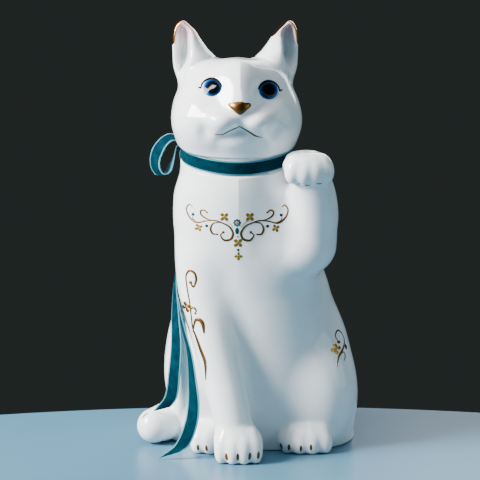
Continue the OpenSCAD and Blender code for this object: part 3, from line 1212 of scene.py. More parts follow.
@dataclass(frozen=True)
class Gilding(Finish):
    """Liquid gold fired on over the glaze and burnished, with the brush's streaks.

    Attributes:
        worn_and_shaded: The colour along the brush's streaks, darkened with the rest of the gold as painted
            shade.
        streaked: How much rougher the streaks are.
        relief: The streaks' depth, in millimetres.
    """

    worn_and_shaded: str = "#6E4A25"
    streaked: float = 0.12
    relief: float = 0.01

    def build(self) -> bpy.types.Material:
        """Make the material.

        Returns:
            The material.
        """
        mat, tree, shader, place = self.base()
        streak = add_node(tree, "ShaderNodeTexNoise", Noise.BRUSH.at(place)).outputs[0]
        rough = add_node(tree, "ShaderNodeMapRange", between(streak, self.rough, self.rough + self.streaked))
        relief = add_node(tree, "ShaderNodeBump", {"Distance": self.relief * MM, "Height": streak})
        # painted reflection: both gold colours are darkened to brown to stand for the dark room that the gold
        # reflects
        plug(shader, {"Base Color": self.mottled(tree, streak, linear(self.colour), self.worn_and_shaded),
                      "Roughness": rough.outputs[0], "Metallic": 1.0, "Normal": relief.outputs[0]})
        return mat


@dataclass(frozen=True)
class Enamel(Finish):
    """Coloured glass enamel fired on over the glaze, with its grains of pigment.

    Attributes:
        dark: The colour of its darkest grains.
        gloss: How much of a clear surface's reflection it has.
        peel: The depth of its surface's unevenness, in millimetres.
    """

    dark: str = "#000000"
    gloss: float = 0.25
    peel: float = 0.006

    def build(self) -> bpy.types.Material:
        """Make the material.

        Returns:
            The material.
        """
        mat, tree, shader, place = self.base()
        speck = add_node(tree, "ShaderNodeTexNoise", Noise.SPECK.at(place)).outputs[0]
        peel = add_node(tree, "ShaderNodeTexNoise", Noise.ORANGE_PEEL.at(place)).outputs[0]
        relief = add_node(tree, "ShaderNodeBump", {"Distance": self.peel * MM, "Height": peel})
        plug(shader, {"Base Color": self.mottled(tree, speck, linear(self.colour), self.dark, 0, 0.6),
                      "IOR": 1.52, "Specular IOR Level": self.gloss, "Normal": relief.outputs[0]})
        return mat


@dataclass(frozen=True)
class EyeEnamel(Finish):
    """An eye painted in rings of enamel round its pupil: black, blue, dark edge and white.

    Attributes:
        pupil: The pupil's radius in millimetres.
        iris: The iris's radius in millimetres.
        white: The radius that the rings reach out to, in millimetres.
        rays: The colour of the iris's fine rays.
        gloss: How much of a clear surface's reflection it has.
    """

    pupil: float = 4.5
    iris: float = 6.0
    white: float = 8.0
    rays: str = "#050A12"
    gloss: float = 0.1

    def build(self) -> bpy.types.Material:
        """Make the material.

        Returns:
            The material.
        """
        mat, tree, shader, place = self.base()
        flat = add_node(tree, "ShaderNodeVectorMath", {0: place, 1: (1, 0, 1)},
                        operation="MULTIPLY").outputs[0]
        ring = add_node(tree, "ShaderNodeVectorMath", {0: flat}, operation="LENGTH").outputs["Value"]
        share = add_node(tree, "ShaderNodeMapRange",
                         {"Value": ring, "From Min": 0.0, "From Max": self.white * MM})
        p, i = self.pupil / self.white, self.iris / self.white
        rings = ((0.0, "#020305"), (p - 0.12, "#02050A"), (p, "#081B36"), (0.5 * p + 0.5 * i, "#123E74"),
                 (i - 0.02, "#1A559A"), (i + 0.02, "#3F7FBE"), (i + 0.07, "#CAD8E4"), (1.0, "#E8ECEF"))
        ramp = add_node(tree, "ShaderNodeValToRGB", {0: share.outputs[0]})
        elements = ramp.color_ramp.elements
        while len(elements) < len(rings):
            elements.new(1.0)
        for element, (reach, code) in zip(elements, rings):
            element.position = reach
            element.color = linear(code)
        ray = add_node(tree, "ShaderNodeTexNoise", Noise.SPECK.at(place)).outputs[0]
        plug(shader, {"Base Color": self.mottled(tree, ray, ramp.outputs[0], self.rays, 0, 0.25),
                      "IOR": 1.52, "Specular IOR Level": self.gloss})
        return mat


@dataclass(frozen=True)
class Velvet(Finish):
    """Woven velvet ribbon: an upright pile over a satin ground, crushed here and there.

    Attributes:
        crushed: The colour where the pile is pressed down.
        deep: The painted shade between the tufts, laid in the pile's hollows.
        sheen: The colour of the light that the pile's tips scatter.
        relief: The tufts' depth, in millimetres.
    """

    crushed: str = "#033442"
    deep: str = "#02222C"
    sheen: str = "#4FB5C4"
    relief: float = 0.15

    def build(self) -> bpy.types.Material:
        """Make the material.

        Returns:
            The material.
        """
        mat, tree, shader, place = self.base()
        lay = add_node(tree, "ShaderNodeTexNoise", Noise.CRUSH.at(place)).outputs[0]
        pile = add_node(tree, "ShaderNodeTexNoise", Noise.PILE.at(place)).outputs[0]
        relief = add_node(tree, "ShaderNodeBump", {"Distance": self.relief * MM, "Height": pile})
        tone = self.mottled(tree, lay, linear(self.colour), self.crushed)
        # painted shade: the pile's hollows, where the bump is low, are darkened towards the deep colour
        plug(shader, {"Base Color": self.mottled(tree, pile, tone, self.deep, 0.35, 0),
                      "Sheen Weight": 0.1, "Sheen Roughness": 0.3, "Sheen Tint": linear(self.sheen),
                      "Specular IOR Level": 0.06, "Normal": relief.outputs[0]})
        return mat


@dataclass(frozen=True)
class Satin(Finish):
    """The ribbon's woven selvedge and satin back: flat yarns with a soft shine.

    Attributes:
        shade: The colour between the yarns.
        yarn: The width of a yarn, in millimetres, coarser than a real one so that it shows.
        relief: The yarns' depth, in millimetres.
    """

    shade: str = "#0B5F70"
    yarn: float = 0.6
    relief: float = 0.05

    def build(self) -> bpy.types.Material:
        """Make the material.

        Returns:
            The material.
        """
        mat, tree, shader, place = self.base()
        yarn = add_node(tree, "ShaderNodeTexWave",
                        {"Vector": place, "Scale": 1 / MM / self.yarn, "Distortion": 1.0},
                        bands_direction="DIAGONAL").outputs[1]
        relief = add_node(tree, "ShaderNodeBump", {"Distance": self.relief * MM, "Height": yarn})
        plug(shader, {"Base Color": self.mottled(tree, yarn, linear(self.colour), self.shade, 0, 0.35),
                      "Sheen Weight": 0.3, "Normal": relief.outputs[0]})
        return mat


@dataclass(frozen=True)
class Biscuit(Finish):
    """Bare fired porcelain, ground flat: the seat's plate.

    Attributes:
        soiled: The colour of the grinding's dust in its pores.
        relief: The grit's depth, in millimetres.
    """

    soiled: str = "#C9C2B6"
    relief: float = 0.05

    def build(self) -> bpy.types.Material:
        """Make the material.

        Returns:
            The material.
        """
        mat, tree, shader, place = self.base()
        grit = add_node(tree, "ShaderNodeTexNoise", Noise.GRIT.at(place)).outputs[0]
        relief = add_node(tree, "ShaderNodeBump", {"Distance": self.relief * MM, "Height": grit})
        plug(shader, {"Base Color": self.mottled(tree, grit, linear(self.colour), self.soiled, 0, 0.5),
                      "Normal": relief.outputs[0]})
        return mat


FINISHES: dict[str, Finish] = {
    # white hard-paste porcelain under a clear gloss glaze: sharp reflections over a milky body
    "porcelain": Glaze("glazed_hard_paste_porcelain", "#F3F4F4", 0.07),
    # the same glaze, with pink stain that fades inwards and gilt rims on the ears
    "ear_porcelain": Glaze("glazed_porcelain_stained_and_gilt", "#F3F4F4", 0.07, marked=True),
    # bare porcelain, ground on a flat wheel: chalky, with no reflection
    "biscuit": Biscuit("ground_biscuit_porcelain", "#E6E1D8", 0.7),
    # liquid gold, fired and burnished: its colour and its streaks are darkened to brown as a painted
    # reflection of the dark room round it
    "gilding": Gilding("burnished_fired_gold", "#8F6535", 0.28, "#573A1E"),
    # brighter gold for the flowers, laid on thicker
    "gold_flower": Gilding("raised_fired_gold", "#C89A3C", 0.3, "#9A6A28"),
    # overglaze enamels: the lids' black is matt, the teal and the eyes are glassy
    "black_enamel": Enamel("fired_matt_black_enamel", "#060708", 0.6, gloss=0.05),
    "teal_enamel": Enamel("fired_teal_enamel", "#0E3F4A", 0.12, "#05222A"),
    "eye_enamel": EyeEnamel("fired_eye_enamels", "#FFFFFF", 0.06),
    # woven ribbon: a pile that swallows light, between edges that return it
    # the velvet's colour is its own dark teal, darkened further as painted shade for the shadow on the collar
    "velvet": Velvet("teal_silk_velvet_pile", "#01212C", 0.9),
    "satin": Satin("teal_satin_selvedge", "#1F7E92", 0.45),
}
MATERIALS: dict[str, bpy.types.Material] = {}


# ---- Work on the surface ------------------------------------------------------------


def spline(places: Sequence[Sequence[float]], spacing: float) -> Array:
    """Points at an even spacing along a smooth curve through places.

    Args:
        places: The places, in any number of dimensions.
        spacing: About how far apart the points are.

    Returns:
        One row for each point.
    """
    p = np.array(places, float)
    reach = np.concatenate([[0], np.cumsum(np.linalg.norm(np.diff(p, axis=0), axis=1))])
    t = np.linspace(0, reach[-1], max(4, int(reach[-1] / spacing) + 2))
    return np.stack([smooth_at(tuple(zip(reach, p[:, i])), t) for i in range(p.shape[1])], 1)


def new_object(name: str, points: Array, faces: Sequence[Sequence[int]], materials: Sequence[str],
               index: Sequence[int] | None = None, origin: Array | None = None) -> bpy.types.Object:
    """Make a smooth mesh object from points in millimetres.

    Args:
        name: The object's name.
        points: Its points, one row each.
        faces: Its faces, as indices.
        materials: Names of its finishes.
        index: Which finish each face has.
        origin: The object's own origin, in millimetres.

    Returns:
        The object, linked and riding on the body.
    """
    start = np.zeros(3) if origin is None else np.array(origin, float)
    mesh = bpy.data.meshes.new(name)
    mesh.from_pydata(((points - start) * MM).tolist(), [], [list(f) for f in faces])
    mesh.validate()
    mesh.shade_smooth()
    for material in materials:
        mesh.materials.append(MATERIALS[material])
    if index is not None:
        mesh.polygons.foreach_set("material_index", np.array(index, np.int32))
    obj = bpy.data.objects.new(name, mesh)
    obj.location = start * MM
    bpy.context.collection.objects.link(obj)
    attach(obj, BODY)
    return obj


@dataclass
class Surface:
    """The porcelain's surface, for laying things on.

    Attributes:
        field: The field that gives its directions.
        points: Its points.
        quads: Its faces.
        before: A Y in front of the whole figure.
        chest_y: A Y near the chest, to look from where nothing is straight behind a place.
    """

    field: Field
    points: Array
    quads: Array
    before: float = -140
    chest_y: float = -50

    def __post_init__(self) -> None:
        """Build the search tree."""
        self.tree = BVHTree.FromPolygons(self.points.tolist(), self.quads.tolist())

    def drop(self, places: Array) -> Array:
        """Lay places on the surface from the front.

        Args:
            places: The places (x, z), one row each.

        Returns:
            The points on the surface.
        """
        out = []
        for x, z in places:
            hit = self.tree.ray_cast(Vector((x, self.before, z)), Vector((0, 1, 0)))[0]
            if hit is None:
                hit = self.tree.find_nearest(Vector((x, self.chest_y, z)))[0]
            out.append(hit[:])
        return np.array(out)

    def snap(self, points: Array) -> Array:
        """Move points to the nearest places on the surface."""
        return np.array([self.tree.find_nearest(Vector(p))[0][:] for p in points])

    def normal(self, points: Array) -> Array:
        """Read the surface's direction.

        Args:
            points: The points, one row each.

        Returns:
            The direction out of the clay at each, of length one.
        """
        g = self.field.slope(points)
        return g / np.maximum(np.linalg.norm(g, axis=1, keepdims=True), TINY)


@dataclass
class Relief:
    """Thin raised work on the glaze, gathered into one object.

    Attributes:
        surface: What it is laid on.
        name: The object's name.
        finishes: Names of its finishes.
        height: How far it stands out, in millimetres.
        under: How far a line's hidden side lies under the surface.
        edge: How far a line's edges lie under it.
        spacing: How far apart a line's sections are.
        points: The points of each closed piece.
        faces: All pieces' faces.
        index: Which finish each face has.
    """

    surface: Surface
    name: str
    finishes: tuple[str, ...]
    height: float = 0.22
    under: float = 0.3
    edge: float = 0.08
    spacing: float = 0.6
    points: list[Array] = field(default_factory=list)
    faces: list[list[int]] = field(default_factory=list)
    index: list[int] = field(default_factory=list)

    def _take(self, points: Array, faces: Iterable[Sequence[int]], finish: int) -> None:
        """Add a closed piece.

        Args:
            points: Its points.
            faces: Its faces, as indices of those points.
            finish: Which of the finishes it has.
        """
        start = sum(len(p) for p in self.points)
        self.points.append(points)
        added = [[start + i for i in face] for face in faces]
        self.faces.extend(added)
        self.index.extend([finish] * len(added))

    def line(self, places: Sequence[Sequence[float]], widths: Sequence[float], finish: int = 0,
             height: float | None = None) -> None:
        """A brushed line that follows the surface.

        Args:
            places: Places (x, z) seen from the front, or (x, y, z).
            widths: The line's widths, evenly spaced along it.
            finish: Which of the finishes it has.
            height: How far it stands out, if not as the rest.
        """
        path = spline(places, self.spacing)
        middle = self.surface.drop(path) if path.shape[1] == 2 else self.surface.snap(path)
        out = self.surface.normal(middle)
        way = np.gradient(middle, axis=0)
        across = np.cross(way, out)
        across /= np.maximum(np.linalg.norm(across, axis=1, keepdims=True), TINY)
        t = np.linspace(0, 1, len(middle))
        half = smooth_at(tuple(zip(np.linspace(0, 1, len(widths)), widths)), t)[:, None] / 2
        rise = self.height if height is None else height
        rows = []
        for s in (-1.0, -0.6, 0.0, 0.6, 1.0):
            lift = -self.edge if abs(s) == 1 else rise * (1 - 0.45 * s * s)
            rows.append(self.surface.snap(middle + across * half * s) + out * lift)
        rows.append(middle - out * self.under)
        n, m = len(middle), len(rows)
        points = np.stack(rows, 1).reshape(-1, 3)
        faces = [[i * m + j, (i + 1) * m + j, (i + 1) * m + (j + 1) % m, i * m + (j + 1) % m]
                 for i in range(n - 1) for j in range(m)]
        faces.append(list(range(m)))
        faces.append([(n - 1) * m + j for j in range(m - 1, -1, -1)])
        self._take(points, faces, finish)

    def wrap(self, flat: Array, middle: Array) -> Array:
        """Lay places on the surface as if cut from paper and pressed on at their middle.

        Args:
            flat: The places (x, z), the first of them the middle.
            middle: The middle (x, z).

        Returns:
            The points on the surface.
        """
        base = self.surface.drop(flat[:1])
        facing = self.surface.normal(base)[0]
        right = np.cross(np.array([0.0, 0.0, 1.0]), facing)
        right *= math.copysign(1 / max(float(np.linalg.norm(right)), TINY), right[0])
        up = np.cross(facing, right)
        up *= math.copysign(1.0, up[2])
        widest = 2.5  # a spot on a side that turns away is stretched no more than this
        stretch = 1 / max(-float(facing[1]), 1 / widest)
        return self.surface.snap(base + (flat[:, :1] - middle[0]) * right * stretch
                                 + (flat[:, 1:] - middle[1]) * up)

    def patch(self, outline: Array, finish: int = 0, height: float | None = None,
              sink: float = 0.3, wrapped: bool = False) -> None:
        """A spot that is domed in its middle.

        Args:
            outline: Its outline's places (x, z), seen from the front.
            finish: Which of the finishes it has.
            height: How far it stands out, if not as the rest.
            sink: How far its hidden side lies under the surface.
            wrapped: Whether it keeps its own size where the surface turns away.
        """
        rise = self.height if height is None else height
        middle = outline.mean(0)
        shares = (0.35, 0.62, 0.82, 0.94, 1.0)
        flat = np.concatenate([[middle], *[middle + (outline - middle) * r for r in shares]])
        laid = self.wrap(flat, middle) if wrapped else self.surface.drop(flat)
        out = self.surface.normal(laid)
        n, droop = len(outline), 0.06
        lift = np.concatenate([[rise], *[np.full(n, rise * math.sqrt(max(1 - r ** 3, 0)) - droop * r)
                                         for r in shares]])
        points = np.concatenate([laid + out * lift[:, None], [laid[0] - out[0] * sink]])
        faces: list[list[int]] = [[0, 1 + j, 1 + (j + 1) % n] for j in range(n)]
        for ring in range(len(shares) - 1):
            a = 1 + ring * n
            faces += [[a + j, a + n + j, a + n + (j + 1) % n, a + (j + 1) % n] for j in range(n)]
        last, bottom = 1 + (len(shares) - 1) * n, len(points) - 1
        faces += [[last + (j + 1) % n, last + j, bottom] for j in range(n)]
        self._take(points, faces, finish)

    def spot(self, at: Sequence[float], radii: Sequence[float], turn: float = 0, finish: int = 0,
             height: float | None = None) -> None:
        """An oval spot.

        Args:
            at: Its middle (x, z).
            radii: Its half-sizes.
            turn: How far it is turned, in degrees.
            finish: Which of the finishes it has.
            height: How far it stands out, if not as the rest.
        """
        sides = 16
        a = np.linspace(0, 2 * math.pi, sides + 1)[:-1]
        x, z = turned(radii[0] * np.cos(a), radii[1] * np.sin(a), turn)
        self.patch(np.stack([at[0] + x, at[1] + z], 1), finish, height, wrapped=True)

    def flower(self, at: Sequence[float], size: float, turn: float = 0) -> None:
        """A flower of four oval petals round a bead, in the second finish.

        Args:
            at: Its middle (x, z).
            size: About its width.
            turn: How far it is turned, in degrees.
        """
        for quarter in range(4):
            angle = turn + 90 * quarter
            x, z = turned(size * 0.3, 0.0, angle)
            self.spot((at[0] + x, at[1] + z), (size * 0.23, size * 0.20), angle, 1)
        self.spot(at, (size * 0.11, size * 0.11), 0, 1, self.height * 1.6)

    def build(self, slot: str, origin: Array | None = None) -> bpy.types.Object:
        """Make the object.

        Args:
            slot: A finish slot's name; not used.
            origin: The object's own origin, in millimetres.

        Returns:
            The object.
        """
        obj = new_object(self.name, np.concatenate(self.points), self.faces, self.finishes, self.index,
                         origin)
        LOG.info("%s: %d faces", self.name, len(self.faces))
        return obj


# ---- Painted and gilded work --------------------------------------------------------


@dataclass(frozen=True)
class Scroll:
    """A brushed scroll.

    Attributes:
        places: The places (x, z) it runs through.
        widths: Its widths, evenly spaced along it.
        bead: The radius of the bead at one end, if it has one.
        at_start: Whether the bead is at its start.
    """

    places: tuple[tuple[float, float], ...]
    widths: tuple[float, ...] = (0.5, 0.8, 0.4)
    bead: float = 0.0
    at_start: bool = True


@dataclass
class ChestOrnament:
    """The scrolled garland across the chest, the same on both sides of its middle.

    Attributes:
        surface: The porcelain it is laid on.
        at: Its middle (x, z).
        side: The scrolls of one side.
    """

    surface: Surface
    at: tuple[float, float] = (-16.0, 165.0)
    side: tuple[Scroll, ...] = (
        Scroll(((-9.3, -6.6), (-11.2, -8.6), (-8.6, -12.2), (-4.2, -11.2), (-2.7, -7.3), (-5.3, -2.7),
                (-10.6, 0), (-15.3, 1.3), (-21.2, 0.7), (-27.9, -0.7), (-32.5, 2.7), (-34.5, 8),
                (-32.5, 11.3), (-30.2, 10)), (0.88, 2, 1.8, 1.2, 1.1, 1.4, 1.6, 0.88), 1.0),
        Scroll(((-14.5, 1.2), (-19.5, 1.8), (-24.1, 4.6), (-24.6, 7.2), (-22.6, 8.2), (-20.4, 6.6)),
               (0.7, 1.1, 1.6, 1.1), 0.75, False),
        Scroll(((-11.5, 0.2), (-16, -0.7), (-17.9, -4.6), (-16.4, -8), (-13.6, -8.2)),
               (0.7, 1.2, 2, 1.1), 0.75, False),
        Scroll(((-26, -0.4), (-29.5, 0.8), (-30.5, 3.4)), (0.53, 1.1, 0.53)))

    def build(self) -> None:
        """Lay the garland on the chest."""
        gold = Relief(self.surface, "chest_gilding", ("gilding", "gold_flower"))
        teal = Relief(self.surface, "chest_enamel", ("teal_enamel",), 0.35)
        cx, cz = self.at
        for turn in (1, -1):
            for scroll in self.side:
                places = [(cx + turn * x, cz + z) for x, z in scroll.places]
                gold.line(places, scroll.widths)
                if scroll.bead:
                    end = places[0] if scroll.at_start else places[-1]
                    gold.spot(end, (scroll.bead, scroll.bead), 0, 0, 0.4)
            gold.flower((cx - turn * 8.6, cz + 3.9), 6.6, 45)
            gold.flower((cx - turn * 26.2, cz - 4.2), 5.6, 30)
            for x, z in ((-29.9, 4.6), (-20.6, -2.7)):
                teal.spot((cx + turn * x, cz + z), (1.15, 1.15))
            stalk = ((2.6, -3.4), (5, -0.2), (7.6, 1.6))
            gold.line([(cx - turn * x, cz + z) for x, z in stalk], (0.3, 0.5, 0.3))
        gold.spot((cx, cz), (0.8, 0.8), 0, 1, 0.5)
        for angle in range(0, 360, 45):
            x, z = turned(1.9, 0.0, angle)
            teal.spot((cx + x, cz + z), (0.95, 0.72), angle)
        teal.spot((cx, cz - 5.6), (1.4, 2.5))
        gold.spot((cx + 0.4, cz - 9.6), (0.8, 0.8), 0, 1)
        gold.flower((cx + 0.6, cz - 14), 7.0, 45)
        teal.spot((cx + 0.7, cz - 18.8), (1.0, 1.0))
        gold.spot((cx + 0.8, cz - 20.8), (0.7, 0.7), 0, 1)
        gold.flower((cx + 0.9, cz - 23.4), 5.6)
        gold.build("gilding")
        teal.build("enamel")


@dataclass
class FlankOrnaments:
    """The gilt scrolls down the standing foreleg and on the left haunch.

    Attributes:
        surface: The porcelain they are laid on.
    """

    surface: Surface

    def build(self) -> None:
        """Lay the scrolls on."""
        leg = Relief(self.surface, "foreleg_gilding", ("gilding", "gold_flower", "teal_enamel"))
        main = ((-48, 122.5), (-46, 119.5), (-44, 124.5), (-45.2, 129), (-48.5, 130.5), (-51, 127),
                (-50.5, 119.5), (-48.5, 108), (-47.5, 99.5), (-46.5, 91), (-44.5, 86), (-41, 76.5),
                (-38, 68.5), (-37.5, 56))
        leg.line(main, (1.4, 2.2, 1.7, 1.6, 1.7, 2.4, 3.6, 3.4, 1.6))
        leg.spot(main[0], (1.3, 1.3), 0, 0, 0.4)
        leg.line(((-46.4, 88), (-44.6, 96.5), (-42, 97.5), (-39.5, 95), (-38.5, 88.5)),
                 (1.0, 2.4, 3.4, 1.6))
        leg.line(((-48.2, 103), (-46, 105.5), (-44, 103.6), (-44.6, 101.6)), (0.8, 1.8, 1.3))
        leg.spot((-44.6, 101.6), (0.9, 0.9), 0, 0, 0.35)
        leg.flower((-51, 105), 7.4, 20)
        leg.spot((-49.5, 90.5), (1.0, 1.0), 0, 2, 0.35)
        leg.build("gilding")
        haunch = Relief(self.surface, "haunch_gilding", ("gilding", "gold_flower"))
        main = ((56, 75.5), (53.5, 80), (55.5, 83), (59, 79.5), (60.5, 74.5), (59, 70.5), (55.5, 66),
                (54, 59.5))
        haunch.line(main, (1.0, 1.6, 1.4, 1.8, 1.9, 0.7))
        haunch.spot(main[0], (1.2, 1.2), 0, 0, 0.4)
        haunch.line(((57, 67.5), (59.5, 68.5), (60.5, 65.5), (59.5, 63)), (0.5, 1.3, 0.7))
        haunch.spot((61.5, 71), (1.0, 2.0), -15, 0)
        haunch.flower((53.5, 71.5), 7.4, 10)
        haunch.build("gilding")


@dataclass
class Claws:
    """Gilt claws painted on the toes.

    Attributes:
        surface: The porcelain they are laid on.
        front: The places (x, z) of the standing foreleg's.
        hind: Those of the hind paws'.
        raised: Those under the raised paw.
    """

    surface: Surface
    front: tuple[tuple[float, float], ...] = ((-23.2, 5.8), (-15.6, 6.0), (-7.4, 6.2), (-1.4, 6.6))
    hind: tuple[tuple[float, float], ...] = ((14.6, 5.2), (20.2, 5.2), (28.4, 5.0), (35.4, 5.8),
                                             (-43.4, 5.2), (-37.4, 5.0))
    raised: tuple[tuple[float, float], ...] = ((23.5, 192.3), (30.6, 191.6), (38.4, 192.6))

    def build(self) -> None:
        """Paint the claws."""
        gilt = Relief(self.surface, "claws_gilding", ("gilding",), 0.3)
        for place in self.front:
            gilt.spot(place, (1.05, 3.0))
        for place in self.hind:
            gilt.spot(place, (0.95, 2.5))
        for x, z in self.raised:
            gilt.line(((x - 1.8, z + 0.1), (x, z - 0.3), (x + 1.8, z + 0.1)), (0.5, 1.2, 0.5))
        gilt.line(((-84, 19.5), (-82, 22), (-79.5, 23.2)), (0.6, 1.8, 0.6))
        gilt.build("gilding")


@dataclass
class FacePainting:
    """Eyes, lids, nose and mouth.

    Attributes:
        surface: The porcelain they are laid on.
        eyes: Each eye's node, its middle (x, z), its half-sizes, the pupil's place in it and its turn.
        middle_x: The face's middle line.
    """

    surface: Surface
    eyes: tuple[tuple[str, Point, Point, Point, float], ...] = (
        ("right_eye", (-32.9, 255.4), (7.0, 5.8), (1.0, 0.2), 6),
        ("left_eye", (5.1, 253.6), (7.1, 5.9), (-0.2, 0.2), -6))
    middle_x: float = -16

    def eye(self, lids: Relief, node: str, at: Point, half: Point, pupil: Point, turn: float) -> None:
        """A domed eye, pointed at its corners, with its lids.

        Args:
            lids: The relief that takes the lids' lines.
            node: The frame's node that it stands for.
            at: Its middle (x, z).
            half: Its half-sizes.
            pupil: The pupil's place from its middle.
            turn: How far it slants, in degrees.
        """
        side = 1 if at[0] > self.middle_x else -1

        def rim(degrees: Array, grow: float) -> Array:
            """Find places round the eye.

            Args:
                degrees: Zero for its outer corner, 90 for its top.
                grow: How far outside its edge.

            Returns:
                The places (x, z).
            """
            a = np.radians(degrees)
            pointed = 1 - 0.10 * np.cos(a) ** 2
            x, z = turned(side * (half[0] + grow) * np.cos(a), (half[1] + grow) * np.sin(a) * pointed, turn)
            return np.stack([at[0] + x, at[1] + z], 1)

        dome = Relief(self.surface, f"{node}_enamel", ("eye_enamel",), 2.0)
        dome.patch(rim(side * np.linspace(0, 360, 45)[:-1], 0), 0, 1.4, 1.0)
        middle = self.surface.drop(np.array([[at[0] + pupil[0], at[1] + pupil[1]]]))[0]
        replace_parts(dome.build("enamel", middle), node)
        upper = rim(np.array([8, 30, 60, 90, 120, 145, 165, 180]), -0.1)
        lash = upper[0] + np.array([side * 2.0, 0.2])
        lids.line(np.concatenate([[lash], upper]), (0.7, 1.9, 2.8, 3.2, 3.2, 2.8, 2.2, 1.5, 0.8), 0, 0.8)

    def build(self) -> None:
        """Paint the face."""
        lids = Relief(self.surface, "eyelids_enamel", ("black_enamel",), 0.5)
        for eye in self.eyes:
            self.eye(lids, *eye)
        lids.build("enamel")
        nose = Relief(self.surface, "nose_gilding", ("gilding",), 1.0)
        corners = ((-14.2, 237.6), (-11.6, 239.0), (-9, 241.4), (-6.6, 243.8), (-7.2, 245.6),
                   (-10.4, 246.0), (-14.2, 246.8), (-18, 246.2), (-21.2, 245.8), (-21.8, 244.0),
                   (-19.4, 241.6), (-16.8, 239.2), (-14.2, 237.6))
        nose.patch(spline(corners, 1.0)[:-1], 0, 1.0)
        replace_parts(nose.build("gilding"), "nose_pad")
        mouth = Relief(self.surface, "mouth_gilding", ("gilding",), 0.28)
        mouth.line(((-14.2, 230.2), (-17.5, 228.8), (-21.5, 227), (-25.6, 224.9), (-31, 225.2)),
                   (0.9, 1.6, 1.6, 1.2, 0.4))
        mouth.line(((-14.2, 230.2), (-11, 228.4), (-7.4, 226.2), (-3.6, 223.8), (0.9, 222.6)),
                   (0.9, 1.6, 1.8, 1.5, 0.4))
        mouth.build("gilding")


# ---- The ribbon ---------------------------------------------------------------------


